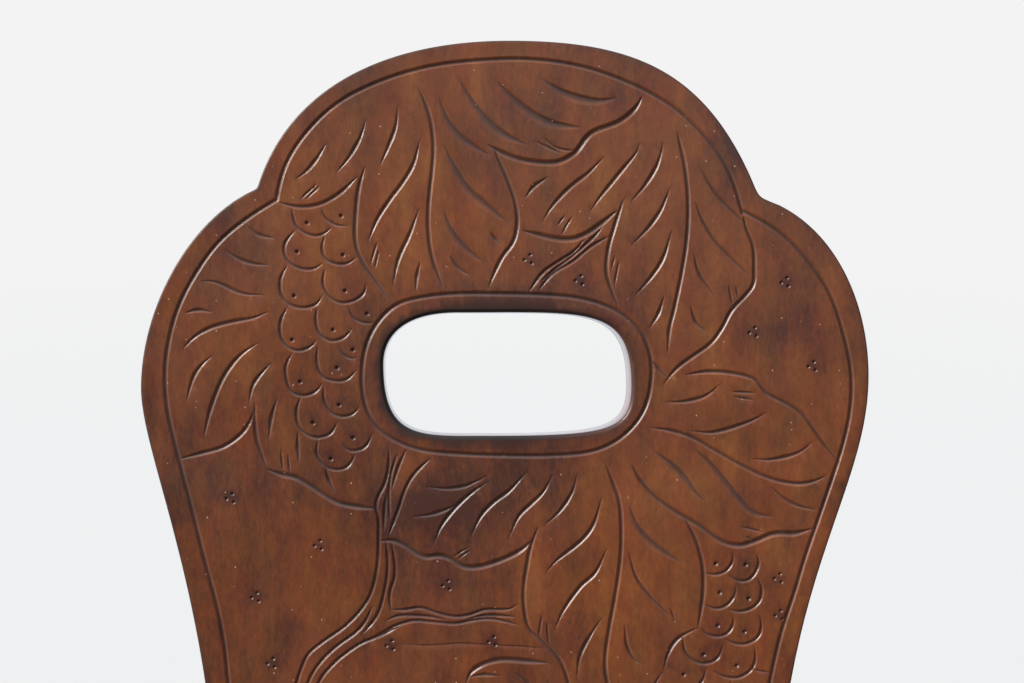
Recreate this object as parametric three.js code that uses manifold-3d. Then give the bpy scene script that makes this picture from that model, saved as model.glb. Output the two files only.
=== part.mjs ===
// A carved board-back chair, all wood, in millimetres with +Z up. The sitter faces -Y.
// A shaped back board with a hand hole leans on a plank seat. Its two tenons pass through the seat
// and through two battens that slide in dovetail channels below, and a key locks each one.
// Four splayed octagonal legs have round tenons in the battens, each spread by a wedge.
// Left and right are as seen from in front of the chair: left is -X.

import * as THREE from 'three';
import { mergeVertices, toCreasedNormals } from 'three/addons/utils/BufferGeometryUtils.js';
import Module from 'manifold-3d';

const wasm = await Module();
wasm.setup();

// Driving dimensions

const FIT = 0.3;
const OVERRUN = 60;
const SIDES = ['left', 'right'];
const ROUND_FACETS = 24;
const CREASE_ANGLE = THREE.MathUtils.degToRad(30);

const SEAT = {
  topHeight: 450,
  thickness: 30,
  depth: 430,
  frontWidth: 430,
  rearWidth: 370,
  frontBow: 10,
  frontCornerRadius: 48,
  rearCornerRadius: 30,
  edgeRound: 6,
  roundSteps: 3,
  curveSteps: 10,
};

const BACK = {
  halfWidth: 190,
  height: 486,
  thickness: 22,
  edgeRound: 1.5,
  rearEdgeDistance: 40,
  leanAngle: THREE.MathUtils.degToRad(10),
  roundSteps: 2,
  curveSteps: 16,
};

const HAND_HOLE = {
  width: 129.6,
  height: 64.4,
  centreHeight: 311.8,
  sideOffset: 1.4,
};

// The hole was cut by eye. From its highest point clockwise, as shares of half its width and height
const HAND_HOLE_SHARES = {
  highest: [-0.402, 1],
  quarters: [
    [[0.675, 1], [1, 1.114], [1, -0.2]],
    [[1, -0.979], [0.788, -1], [-0.348, -1]],
    [[-0.79, -1], [-1, -0.908], [-1, 0.17]],
    [[-1, 0.54], [-0.884, 1], [-0.402, 1]],
  ],
};

const BACK_TENON = {
  width: 46,
  thickness: 16,
  rootLength: 24,
  belowBatten: 36,
  endChamfer: 4,
};

const KEY = {
  width: 14,
  thinEnd: 12,
  thickEnd: 20,
  frontReach: 34,
  rearReach: 44,
  drawRoom: 3,
  edgeRound: 1,
};

const BATTEN = {
  spacing: 200,
  width: 80,
  depth: 30,
  neckWidth: 60,
  dovetailSpread: 3,
  tongueHeight: 9,
  frontStop: 40,
  rearInset: 2,
  lowerChamfer: 6,
  endChamfer: 12,
};

const LEG = {
  shoulderRadius: 19,
  swell: 3,
  footRadius: 14,
  swellLevelPower: 1.6,
  frontInset: 90,
  rearInset: 120,
  frontSpread: 70,
  rearSpread: 120,
  frontSideSpread: 85,
  rearSideSpread: 75,
  profileSteps: 8,
  facets: 8,
};

const LEG_TENON = {
  radius: 12,
  rootLength: 30,
};

const WEDGE = {
  length: 26,
  thickEnd: 4,
  thinEnd: 1,
};

// The back board's outline, as shares of its half width and its height.
// Each side runs from the apex over the top lobe to the notch, round the side lobe to the widest
// point, and down the taper to the waist and the foot. The board was shaped by hand, so its
// two sides differ a little.

const APEX_SHARE = [0.013, 1];

const OUTLINE_SHARES = {
  left: {
    topLobe: [[-0.348, 1], [-0.601, 0.945], [-0.681, 0.846]],
    sideLobe: [[-0.871, 0.809], [-1, 0.7105], [-1, 0.627]],
    taper: [[-1, 0.5514], [-0.784, 0.3895], [-0.784, 0.103]],
  },
  right: {
    topLobe: [[0.376, 1], [0.566, 0.964], [0.696, 0.8346]],
    sideLobe: [[0.905, 0.807], [1, 0.72], [1, 0.64]],
    taper: [[1, 0.51], [0.742, 0.42], [0.742, 0.103]],
  },
};

// Levels and places worked out from the driving dimensions

const seatBottom = SEAT.topHeight - SEAT.thickness;
const battenBottom = seatBottom - BATTEN.depth;
const battenTop = seatBottom + BATTEN.tongueHeight;
const seatFront = -SEAT.depth / 2;
const seatRear = SEAT.depth / 2;
const battenFront = seatFront + BATTEN.frontStop;
const battenRear = seatRear - BATTEN.rearInset;
const backPlace = seatRear - BACK.rearEdgeDistance;
const tenonDrop = SEAT.topHeight - battenBottom + BACK_TENON.belowBatten;
const tenonReach = tenonDrop / Math.cos(BACK.leanAngle);
const keyPlace = backPlace - (SEAT.topHeight - battenBottom) * Math.tan(BACK.leanAngle);

// Materials

const FINISHES = {
  board: { color: 0x70432d, roughness: 0.42, metalness: 0 },
  seat: { color: 0x744a30, roughness: 0.45, metalness: 0 },
  leg: { color: 0x683c28, roughness: 0.45, metalness: 0 },
  batten: { color: 0x5e3a28, roughness: 0.6, metalness: 0 },
  wedge: { color: 0x8a6242, roughness: 0.65, metalness: 0 },
};

// Solid modelling helpers

function signOf(side) {
  return side === 'left' ? -1 : 1;
}

function makePiece(name, geometry, finish) {
  const piece = new THREE.Mesh(geometry, new THREE.MeshStandardMaterial(finish));
  piece.name = name;
  return piece;
}

function makeCutter(geometry, parent) {
  const cutter = new THREE.Mesh(geometry);
  if (parent) {
    cutter.applyMatrix4(parent.matrix);
  }
  return cutter;
}

function worldMatrix(object) {
  object.updateWorldMatrix(true, false);
  return object.matrixWorld;
}

function toSolid(mesh, frame) {
  const bare = mesh.geometry.clone();
  bare.applyMatrix4(new THREE.Matrix4().copy(worldMatrix(frame)).invert().multiply(worldMatrix(mesh)));
  bare.deleteAttribute('normal');
  bare.deleteAttribute('uv');
  const merged = mergeVertices(bare);
  return new wasm.Manifold(new wasm.Mesh({
    numProp: 3,
    vertProperties: new Float32Array(merged.attributes.position.array),
    triVerts: new Uint32Array(merged.index.array),
  }));
}

function toGeometry(solid) {
  const { vertProperties, triVerts } = solid.getMesh();
  const geometry = new THREE.BufferGeometry();
  geometry.setAttribute('position', new THREE.BufferAttribute(vertProperties, 3));
  geometry.setIndex(new THREE.BufferAttribute(triVerts, 1));
  return toCreasedNormals(geometry, CREASE_ANGLE);
}

// Joins, then cuts, then keeps only what lies inside the last meshes. Every mesh may be placed
// anywhere in the chair, and the result stays in the piece's own frame.
function shapePiece(piece, { joins = [], cuts = [], keeps = [] }) {
  let solid = toSolid(piece, piece);
  for (const join of joins) {
    solid = solid.add(toSolid(join, piece));
  }
  for (const cut of cuts) {
    solid = solid.subtract(toSolid(cut, piece));
  }
  for (const keep of keeps) {
    solid = solid.intersect(toSolid(keep, piece));
  }
  piece.geometry = toGeometry(solid);
}

// A horizontal slab wide enough to cut the whole chair between two heights
function levelSlab(lowHeight, highHeight) {
  const reach = 2 * (SEAT.frontWidth + SEAT.depth + BACK.height);
  const slab = makeCutter(new THREE.BoxGeometry(reach, reach, highHeight - lowHeight));
  slab.position.z = (lowHeight + highHeight) / 2;
  return slab;
}

function polygon(points) {
  return new THREE.Shape(points.map(([x, y]) => new THREE.Vector2(x, y)));
}

// An outline extruded to a full thickness, centred on its plane, with its edges rounded inwards
function makePlate(shape, thickness, { edgeRound = 0, roundSteps = 1, curveSteps = 1 } = {}) {
  const depth = thickness - 2 * edgeRound;
  const geometry = new THREE.ExtrudeGeometry(shape, {
    depth,
    curveSegments: curveSteps,
    bevelEnabled: edgeRound > 0,
    bevelThickness: edgeRound,
    bevelSize: edgeRound,
    bevelOffset: -edgeRound,
    bevelSegments: roundSteps,
  });
  return geometry.translate(0, 0, -depth / 2);
}

// Stands an extrusion of an (x, z) profile up, so that it runs along Y from a near to a far end
function extrudeAlongY(shape, nearEnd, farEnd) {
  const geometry = new THREE.ExtrudeGeometry(shape, { depth: farEnd - nearEnd, bevelEnabled: false });
  geometry.rotateX(Math.PI / 2);
  return geometry.translate(0, farEnd, 0);
}

// Turns an extrusion of a (y, z) profile, so that its thickness lies along X about the middle
function extrudeAcrossX(shape, width, edges) {
  const geometry = makePlate(shape, width, edges);
  geometry.rotateX(Math.PI / 2);
  return geometry.rotateZ(Math.PI / 2);
}

// Back board. Its own frame has X across, Y up along the board from the seat and Z to the front.

function traceSide(shape, side, upwards) {
  const at = ([x, y]) => [x * BACK.halfWidth, y * BACK.height];
  const { topLobe, sideLobe, taper } = OUTLINE_SHARES[side];
  const downward = [at(APEX_SHARE), ...[...topLobe, ...sideLobe, ...taper].map(at)];
  const points = upwards ? downward.slice().reverse() : downward;
  for (let i = 1; i + 2 < points.length; i += 3) {
    shape.bezierCurveTo(...points[i], ...points[i + 1], ...points[i + 2]);
  }
}

// The board runs straight down from its waist, and on past the seat, where it is then cut level.
function backOutline() {
  const footLevel = -BACK.edgeRound - BACK.thickness * Math.tan(BACK.leanAngle);
  const [leftWaistShare] = OUTLINE_SHARES.left.taper.at(-1);
  const [rightWaistShare, waistLevelShare] = OUTLINE_SHARES.right.taper.at(-1);
  const shape = new THREE.Shape();
  shape.moveTo(leftWaistShare * BACK.halfWidth, footLevel);
  shape.lineTo(rightWaistShare * BACK.halfWidth, footLevel);
  shape.lineTo(rightWaistShare * BACK.halfWidth, waistLevelShare * BACK.height);
  traceSide(shape, 'right', true);
  traceSide(shape, 'left', false);
  shape.closePath();
  shape.holes.push(handHoleOutline());
  return shape;
}

function handHoleOutline() {
  const at = ([x, y]) => [
    HAND_HOLE.sideOffset + x * HAND_HOLE.width / 2,
    HAND_HOLE.centreHeight + y * HAND_HOLE.height / 2,
  ];
  const hole = new THREE.Path();
  hole.moveTo(...at(HAND_HOLE_SHARES.highest));
  for (const [leaving, arriving, end] of HAND_HOLE_SHARES.quarters) {
    hole.bezierCurveTo(...at(leaving), ...at(arriving), ...at(end));
  }
  return hole;
}

function tenonOutline(grow) {
  const half = BACK_TENON.width / 2 + grow;
  const chamfer = BACK_TENON.endChamfer;
  return polygon([
    [-half, BACK_TENON.rootLength],
    [-half, -tenonReach + chamfer],
    [-half + chamfer, -tenonReach],
    [half - chamfer, -tenonReach],
    [half, -tenonReach + chamfer],
    [half, BACK_TENON.rootLength],
  ]);
}

function backTenon(side, backFrame, grow = 0) {
  const geometry = makePlate(tenonOutline(grow), BACK_TENON.thickness + 2 * grow);
  geometry.translate(signOf(side) * BATTEN.spacing / 2, 0, 0);
  return makeCutter(geometry, backFrame);
}

function backBoard(backFrame, keys) {
  const body = makePlate(backOutline(), BACK.thickness, BACK);
  const board = makePiece('back_board', body, FINISHES.board);
  backFrame.add(board);
  shapePiece(board, { cuts: [levelSlab(seatBottom, SEAT.topHeight + FIT)] });
  const tenons = SIDES.map((side) => backTenon(side, backFrame));
  shapePiece(board, { joins: tenons, cuts: keys.map(keySlot) });
}

// Seat. A plank, wider in front, with a bowed front edge and rounded corners.

function seatOutline() {
  const front = SEAT.frontWidth / 2;
  const rear = SEAT.rearWidth / 2;
  const corners = [
    { x: -front, y: seatFront + SEAT.frontBow, radius: SEAT.frontCornerRadius },
    { x: front, y: seatFront + SEAT.frontBow, radius: SEAT.frontCornerRadius },
    { x: rear, y: seatRear, radius: SEAT.rearCornerRadius },
    { x: -rear, y: seatRear, radius: SEAT.rearCornerRadius },
  ].map(({ x, y, radius }) => ({ at: new THREE.Vector2(x, y), radius }));
  const shape = new THREE.Shape();
  corners.forEach(({ at, radius }, i) => {
    const before = corners.at(i - 1).at;
    const after = corners[(i + 1) % corners.length].at;
    const start = at.clone().add(before.clone().sub(at).setLength(radius));
    const end = at.clone().add(after.clone().sub(at).setLength(radius));
    if (i === 0) {
      shape.moveTo(start.x, start.y);
    } else if (i === 1) {
      shape.quadraticCurveTo(0, seatFront - SEAT.frontBow, start.x, start.y);
    } else {
      shape.lineTo(start.x, start.y);
    }
    shape.quadraticCurveTo(at.x, at.y, end.x, end.y);
  });
  shape.closePath();
  return shape;
}

function battenChannel(side) {
  const neck = BATTEN.neckWidth / 2 + FIT;
  const top = neck + BATTEN.dovetailSpread;
  const roof = BATTEN.tongueHeight + FIT;
  const shape = polygon([
    [-neck, -BATTEN.depth],
    [neck, -BATTEN.depth],
    [neck, 0],
    [top, roof],
    [-top, roof],
    [-neck, 0],
  ]);
  const channel = makeCutter(extrudeAlongY(shape, battenFront - FIT, seatRear + OVERRUN));
  channel.position.set(signOf(side) * BATTEN.spacing / 2, 0, seatBottom);
  return channel;
}

function seatPlank(backFrame) {
  const seat = makePiece('seat', makePlate(seatOutline(), SEAT.thickness, SEAT), FINISHES.seat);
  seat.position.z = seatBottom + SEAT.thickness / 2;
  const mortises = SIDES.map((side) => backTenon(side, backFrame, FIT));
  shapePiece(seat, { cuts: [...SIDES.map(battenChannel), ...mortises] });
  return seat;
}

// Battens. Each has a dovetail tongue along its top, chamfered lower edges and sloped ends.

function battenSection() {
  const half = BATTEN.width / 2;
  const neck = BATTEN.neckWidth / 2;
  const top = neck + BATTEN.dovetailSpread;
  const chamfer = BATTEN.lowerChamfer;
  return polygon([
    [-half + chamfer, -BATTEN.depth],
    [half - chamfer, -BATTEN.depth],
    [half, -BATTEN.depth + chamfer],
    [half, -FIT],
    [neck, -FIT],
    [top, BATTEN.tongueHeight],
    [-top, BATTEN.tongueHeight],
    [-neck, -FIT],
    [-half, -FIT],
    [-half, -BATTEN.depth + chamfer],
  ]);
}

function battenSideView() {
  const chamfer = BATTEN.endChamfer;
  return polygon([
    [battenFront + chamfer, -BATTEN.depth],
    [battenRear - chamfer, -BATTEN.depth],
    [battenRear, -BATTEN.depth + chamfer],
    [battenRear, BATTEN.tongueHeight],
    [battenFront, BATTEN.tongueHeight],
    [battenFront, -BATTEN.depth + chamfer],
  ]);
}

function batten(side, backFrame, legFrames) {
  const geometry = extrudeAlongY(battenSection(), battenFront, battenRear);
  const piece = makePiece(`batten_${side}`, geometry, FINISHES.batten);
  piece.position.set(signOf(side) * BATTEN.spacing / 2, 0, seatBottom);
  piece.updateMatrix();
  const silhouette = makeCutter(extrudeAcrossX(battenSideView(), BATTEN.width), piece);
  const legHoles = legFrames.map((frame) => legTenon(frame, FIT));
  const mortise = backTenon(side, backFrame, FIT);
  shapePiece(piece, { keeps: [silhouette], cuts: [...legHoles, mortise] });
  return piece;
}

// Keys. Each is a long wedge through the tenon below the batten, thin end to the front.

function keyOutline(topRoom, grow) {
  const front = -KEY.frontReach;
  const rear = KEY.rearReach;
  return polygon([
    [front, -KEY.thinEnd - grow],
    [rear, -KEY.thickEnd - grow],
    [rear, topRoom],
    [front, topRoom],
  ]);
}

function backKey(side) {
  const geometry = extrudeAcrossX(keyOutline(0, 0), KEY.width, KEY);
  const key = makePiece(`back_key_${side}`, geometry, FINISHES.wedge);
  key.position.set(signOf(side) * BATTEN.spacing / 2, keyPlace, battenBottom - FIT);
  return key;
}

function keySlot(key) {
  const geometry = extrudeAcrossX(keyOutline(KEY.drawRoom, FIT), KEY.width + 2 * FIT);
  const slot = makeCutter(geometry);
  slot.position.copy(key.position);
  return slot;
}

// Legs. Each stands in its own frame, with Y along the leg and zero at the floor.

function makeLegFrame(side, isFront) {
  const sign = signOf(side);
  const shoulderX = sign * BATTEN.spacing / 2;
  const shoulderY = isFront ? seatFront + LEG.frontInset : seatRear - LEG.rearInset;
  const sideSpread = isFront ? LEG.frontSideSpread : LEG.rearSideSpread;
  const spread = isFront ? -LEG.frontSpread : LEG.rearSpread;
  const foot = new THREE.Vector3(shoulderX + sign * sideSpread, shoulderY + spread, 0);
  const shoulder = new THREE.Vector3(shoulderX, shoulderY, battenBottom);
  const direction = shoulder.clone().sub(foot);
  const frame = new THREE.Group();
  frame.position.copy(foot);
  frame.quaternion.setFromUnitVectors(new THREE.Vector3(0, 1, 0), direction.clone().normalize());
  frame.userData.length = direction.length();
  frame.userData.tilt = direction.angleTo(new THREE.Vector3(0, 0, 1));
  frame.updateMatrix();
  return frame;
}

// The shaft swells a little below its shoulder and tapers to the foot. It starts and ends past
// the leg's real ends, which are then cut level.
function legProfile(length) {
  const overrun = LEG.footRadius;
  const points = [new THREE.Vector2(0, -overrun)];
  for (let step = 0; step <= LEG.profileSteps; step += 1) {
    const riseShare = step / LEG.profileSteps;
    const taper = THREE.MathUtils.lerp(LEG.footRadius, LEG.shoulderRadius, riseShare);
    const radius = taper + LEG.swell * Math.sin(Math.PI * riseShare ** LEG.swellLevelPower);
    const height = THREE.MathUtils.lerp(-overrun, length + overrun, riseShare);
    points.push(new THREE.Vector2(radius, height));
  }
  points.push(new THREE.Vector2(0, length + overrun));
  return points;
}

function legTenon(frame, grow = 0) {
  const bottom = frame.userData.length - LEG_TENON.rootLength;
  const top = frame.userData.length + BATTEN.depth + BATTEN.tongueHeight + LEG_TENON.rootLength;
  const radius = LEG_TENON.radius + grow;
  const geometry = new THREE.CylinderGeometry(radius, radius, top - bottom, ROUND_FACETS);
  geometry.translate(0, (top + bottom) / 2, 0);
  return makeCutter(geometry, frame);
}

// A tapered slip in the leg's frame, thin end down, with its width across the batten's grain. It
// runs on above the batten, where it is then cut level with the tenon.
function wedgeSolid(frame, width, grow = 0) {
  const shoulderLevel = frame.userData.length;
  const battenRise = (battenTop - battenBottom) / Math.cos(frame.userData.tilt);
  const top = shoulderLevel + battenRise + LEG_TENON.radius;
  const tip = shoulderLevel + battenRise - WEDGE.length;
  const growthShare = (WEDGE.thickEnd - WEDGE.thinEnd) / WEDGE.length;
  const tipHalf = WEDGE.thinEnd / 2 + grow;
  const topHalf = tipHalf + growthShare * (top - tip) / 2;
  const shape = polygon([
    [-tipHalf, tip - grow],
    [tipHalf, tip - grow],
    [topHalf, top],
    [-topHalf, top],
  ]);
  return makePlate(shape, width).rotateY(Math.PI / 2);
}

function leg(name, frame) {
  const profile = legProfile(frame.userData.length);
  const geometry = new THREE.LatheGeometry(profile, LEG.facets, Math.PI / LEG.facets);
  const piece = makePiece(name, geometry, FINISHES.leg);
  frame.add(piece);
  const belowFloor = levelSlab(-OVERRUN, 0);
  const aboveShoulder = levelSlab(battenBottom - FIT, SEAT.topHeight + OVERRUN);
  const aboveBatten = levelSlab(battenTop - FIT, SEAT.topHeight + OVERRUN);
  const kerf = makeCutter(wedgeSolid(frame, 2 * (LEG_TENON.radius + FIT), FIT), frame);
  shapePiece(piece, { cuts: [belowFloor, aboveShoulder] });
  shapePiece(piece, { joins: [legTenon(frame)], cuts: [aboveBatten, kerf] });
}

function legWedge(name, frame) {
  const piece = makePiece(name, wedgeSolid(frame, 2 * LEG_TENON.radius), FINISHES.wedge);
  frame.add(piece);
  shapePiece(piece, {
    cuts: [levelSlab(battenTop - FIT, SEAT.topHeight + OVERRUN)],
    keeps: [legTenon(frame)],
  });
}

// The whole chair

function makeChair() {
  const assembly = new THREE.Group();
  const backFrame = new THREE.Group();
  backFrame.position.set(0, backPlace, SEAT.topHeight);
  backFrame.rotation.x = Math.PI / 2 - BACK.leanAngle;
  backFrame.updateMatrix();
  assembly.add(backFrame);

  const keys = SIDES.map(backKey);
  backBoard(backFrame, keys);
  assembly.add(seatPlank(backFrame), ...keys);

  for (const side of SIDES) {
    const frames = { front: makeLegFrame(side, true), rear: makeLegFrame(side, false) };
    assembly.add(batten(side, backFrame, Object.values(frames)));
    for (const [end, frame] of Object.entries(frames)) {
      assembly.add(frame);
      leg(`leg_${end}_${side}`, frame);
      legWedge(`leg_wedge_${end}_${side}`, frame);
    }
  }
  return assembly;
}

// The origin is on the floor, under the middle of the chair's own box.
function standOnOrigin(assembly) {
  const middle = new THREE.Box3().setFromObject(assembly, true).getCenter(new THREE.Vector3());
  assembly.position.set(-middle.x, -middle.y, 0);
  const chair = new THREE.Group();
  chair.name = 'chair';
  chair.add(assembly);
  return chair;
}

export default standOnOrigin(makeChair());
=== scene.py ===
"""A hand-carved chair with a solid board for its back: its finishes, its carving and a plain studio.

Lengths are in metres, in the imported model's own frame, and a name that ends in _MM is in
millimetres. The back board has a frame of its own: u runs to the chair's +X side, s up the board
and n out of its front face. The carving is laid out in pixels of the 1024 by 683 photograph,
and photo_to_board turns them into places on the front face.
"""

import math
from collections import namedtuple

import bmesh
import bpy
import numpy as np
from mathutils import Matrix, Vector, noise
from mathutils.geometry import delaunay_2d_cdt


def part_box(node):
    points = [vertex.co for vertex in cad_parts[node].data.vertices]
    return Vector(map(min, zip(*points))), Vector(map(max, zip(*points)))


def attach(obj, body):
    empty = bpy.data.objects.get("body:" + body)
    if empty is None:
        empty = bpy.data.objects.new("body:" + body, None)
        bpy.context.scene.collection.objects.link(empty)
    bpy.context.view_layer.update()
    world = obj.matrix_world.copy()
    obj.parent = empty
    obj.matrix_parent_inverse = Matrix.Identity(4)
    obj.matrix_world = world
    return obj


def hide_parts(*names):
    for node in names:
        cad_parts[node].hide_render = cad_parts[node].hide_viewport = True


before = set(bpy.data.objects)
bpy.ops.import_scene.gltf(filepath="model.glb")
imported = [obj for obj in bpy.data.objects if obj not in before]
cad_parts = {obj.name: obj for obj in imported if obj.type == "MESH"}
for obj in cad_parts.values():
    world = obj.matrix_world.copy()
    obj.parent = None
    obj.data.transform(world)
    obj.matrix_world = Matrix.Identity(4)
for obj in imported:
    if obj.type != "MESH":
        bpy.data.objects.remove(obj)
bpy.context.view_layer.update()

MM = 0.001

# The board's size and its place in the chair

BOARD_HALF_WIDTH_MM = 190
BOARD_HEIGHT_MM = 486
BOARD_THICKNESS_MM = 22
EDGE_ROUND_MM = 1.0
HOLE_ROUND_MM = 2.2
REAR_EDGE_DISTANCE = 0.040
SHOULDER_GAP = 0.0003
LEAN = math.radians(10)

seat_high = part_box("seat")[1]
board_foot = Vector((0, seat_high.y - REAR_EDGE_DISTANCE, seat_high.z))
along_u = Vector((1, 0, 0))
along_s = Vector((0, math.sin(LEAN), math.cos(LEAN)))
along_n = Vector((0, -math.cos(LEAN), math.sin(LEAN)))
FRONT_MM = BOARD_THICKNESS_MM / 2

# The camera looks square at the board, with its frame moved sideways as in the photograph

IMAGE_WIDTH = 1024
IMAGE_MIDDLE = (512, 341.5)
AXIS_PIXEL = (450, 341.5)
FOCAL_PIXELS = 1162
SENSOR_MM = 36
CAMERA_U_MM = -28.6
CAMERA_S_MM = 328.9
CAMERA_TO_FACE_MM = 605.9
MM_PER_PIXEL = CAMERA_TO_FACE_MM / FOCAL_PIXELS

# The outline, as shares of the half width and the height, from the apex down to the waist

APEX_SHARE = (0.013, 1)
OUTLINE_SHARES = {
    "left": [
        [(-0.348, 1), (-0.601, 0.945), (-0.681, 0.841)],
        [(-0.871, 0.809), (-1, 0.7105), (-1, 0.627)],
        [(-1, 0.5514), (-0.784, 0.3895), (-0.784, 0.103)],
    ],
    "right": [
        [(0.376, 1), (0.566, 0.964), (0.699, 0.832)],
        [(0.905, 0.807), (1, 0.72), (1, 0.64)],
        [(1, 0.51), (0.742, 0.42), (0.742, 0.103)],
    ],
}

# Where the lobes meet, a small curve eases the corner. It starts this far from the corner, and the
# outline's own points keep clear of it by a little more. A turn under the least isn't a corner.

NOTCH_EASE_MM = {"left": 3.5, "right": 8}
NOTCH_CLEARANCE = 1.2
NOTCH_LEAST_TURN = math.radians(8)

# The hand hole, from its highest point clockwise, as shares of half its width and height

HAND_HOLE_WIDTH_MM = 129.6
HAND_HOLE_HEIGHT_MM = 64.4
HAND_HOLE_CENTRE_MM = (1.4, 311.8)
HAND_HOLE_START = (-0.402, 1)
HAND_HOLE_SHARES = [
    [(0.675, 1), (1, 1.114), (1, -0.2)],
    [(1, -0.979), (0.788, -1), (-0.348, -1)],
    [(-0.79, -1), (-1, -0.908), (-1, 0.17)],
    [(-1, 0.54), (-0.884, 1), HAND_HOLE_START],
]

# The carving. What each tool leaves: half the groove's width and its depth at the widest, how
# long its tapered ends are, and how its knife leaned. The lean points, as (u, s), to the wall that
# is the steeper one, and is the share of half the width by which that wall is narrower.

KNIFE_LEAN = (0.19, -0.14)
GOUGE_LEAN = (0.40, 0.45)
Cut = namedtuple("Cut", "half_width depth taper lean", defaults=[KNIFE_LEAN])

CUTS_MM = {
    "border": Cut(1.35, 0.8, 0),
    "rim": Cut(1.4, 0.85, 0),
    "deep_edges": Cut(1.7, 1.05, 10),
    "edges": Cut(1.35, 0.82, 12),
    "stems": Cut(1.1, 0.85, 9),
    "veins": Cut(1.4, 0.82, 17),
    "soft_veins": Cut(2.7, 0.72, 17, GOUGE_LEAN),
    "arcs": Cut(1.12, 0.7, 8),
    "ticks": Cut(0.78, 0.5, 4),
    "scratches": Cut(0.32, 0.08, 5),
    "crack": Cut(0.24, 0.3, 12),
}
GRAPE_DOT = Cut(1.3, 1.2, 0)
STAR_DOT = Cut(1.08, 0.85, 0)
STAR_DOT_PLACES = [(1.3, -4.1), (-4.4, 0.9), (2.6, 4.3)]

# Each line of the carving is a smooth curve through a few pixels

BORDER = {
    "border": [
        [(277, 200), (281, 178), (289, 158), (302, 138), (322, 116), (347, 97), (384, 80), (419, 69),
         (453, 63), (488, 60), (522, 59), (557, 62), (591, 69), (627, 82), (654, 95), (679, 111),
         (700, 131), (721, 156), (734, 181), (743, 213)],
        [(277, 200), (260, 210), (244, 221), (231, 231), (219, 242), (209, 254), (199, 269), (191, 282),
         (182, 299), (174, 320), (168, 346), (165, 371),
         (166, 396), (169, 418), (179, 459), (190, 500), (200, 541), (210, 579), (219, 613), (225, 646),
         (229, 686), (235, 730), (240, 780), (243, 840), (243, 966)],
        [(743, 211), (760, 220), (775, 229), (787, 239), (800, 251), (816, 271), (829, 290), (838, 312),
         (846, 341), (852, 369), (852, 405), (845, 441), (834, 476), (821, 514), (805, 560), (795, 594),
         (784, 626), (777, 653), (770, 686), (763, 725), (756, 780), (752, 840), (752, 966)],
    ],
}

RIM = {
    "rim": [
        [(362, 375), (366, 347), (377, 324), (396, 305), (420, 298), (455, 294), (497, 294), (540, 295),
         (577, 298), (609, 307), (630, 320), (645, 337), (652, 360), (652, 381), (647, 406), (634, 427),
         (613, 444), (588, 453), (550, 456), (508, 456), (455, 454), (420, 450), (392, 439), (373, 423),
         (364, 400), (362, 375)],
    ],
}

LEAF_TOP_LEFT = {
    "edges": [
        [(278, 202), (292, 206), (307, 207), (324, 203), (342, 192), (357, 177)],
        [(365, 167), (359, 189), (356, 217), (356, 244), (364, 264), (375, 280), (389, 299)],
    ],
    "veins": [
        [(296, 179), (307, 171), (317, 159), (326, 144)],
        [(336, 173), (349, 158), (360, 139), (366, 120)],
        [(380, 166), (389, 146), (396, 127), (398, 106)],
        [(368, 242), (378, 219), (391, 199), (403, 183), (414, 164), (420, 140)],
        [(393, 285), (399, 259), (409, 237), (415, 221), (419, 209)],
        [(416, 290), (417, 278), (420, 263)],
    ],
    "ticks": [
        [(301, 199), (316, 185)],
        [(306, 199), (319, 187)],
        [(371, 264), (377, 243)],
        [(375, 268), (379, 251)],
    ],
}

LEAF_TOP = {
    "edges": [
        [(418, 88), (426, 104), (432, 125), (434, 150), (432, 176), (429, 206), (429, 233), (433, 259),
         (443, 287)],
        [(493, 147), (501, 164), (510, 185), (516, 204), (518, 223), (514, 242), (503, 257), (495, 273),
         (489, 287)],
    ],
    "soft_veins": [
        [(446, 149), (457, 168), (470, 188), (488, 204), (507, 221)],
        [(444, 211), (453, 230), (467, 247), (483, 261)],
    ],
    "veins": [
        [(450, 256), (460, 269), (470, 275)],
        [(491, 233), (500, 244)],
    ],
}

LEAF_TOP_RIGHT = {
    "deep_edges": [
        [(488, 145), (505, 154), (522, 160), (543, 163), (560, 162), (576, 153), (584, 142), (594, 132),
         (618, 123), (632, 113), (639, 104), (642, 97)],
    ],
    "soft_veins": [
        [(440, 101), (450, 121), (465, 138), (488, 154)],
        [(461, 82), (474, 101), (488, 118), (505, 133), (526, 144)],
        [(498, 82), (514, 97), (532, 111), (553, 122), (580, 127)],
        [(544, 80), (562, 90), (582, 97), (600, 100), (616, 98)],
    ],
    "ticks": [
        [(537, 142), (560, 153)],
        [(544, 138), (557, 148), (574, 151)],
    ],
}

TWIGS_ABOVE_HOLE = {
    "deep_edges": [[(524, 231), (539, 235), (557, 239), (574, 239), (589, 233), (603, 223), (617, 211)]],
    "stems": [
        [(529, 292), (543, 273), (560, 261), (574, 252), (584, 240)],
        [(542, 281), (557, 268), (572, 257), (588, 243), (598, 233), (603, 226)],
        [(539, 290), (553, 274), (574, 261), (591, 247), (608, 237)],
    ],
    "veins": [
        [(526, 197), (534, 187), (547, 178)],
        [(543, 221), (553, 206), (570, 188), (589, 173), (604, 157)],
        [(590, 212), (600, 198), (614, 181), (627, 165), (636, 154), (640, 144)],
    ],
    "ticks": [
        [(558, 225), (565, 216)],
        [(562, 234), (572, 217)],
    ],
}

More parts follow.
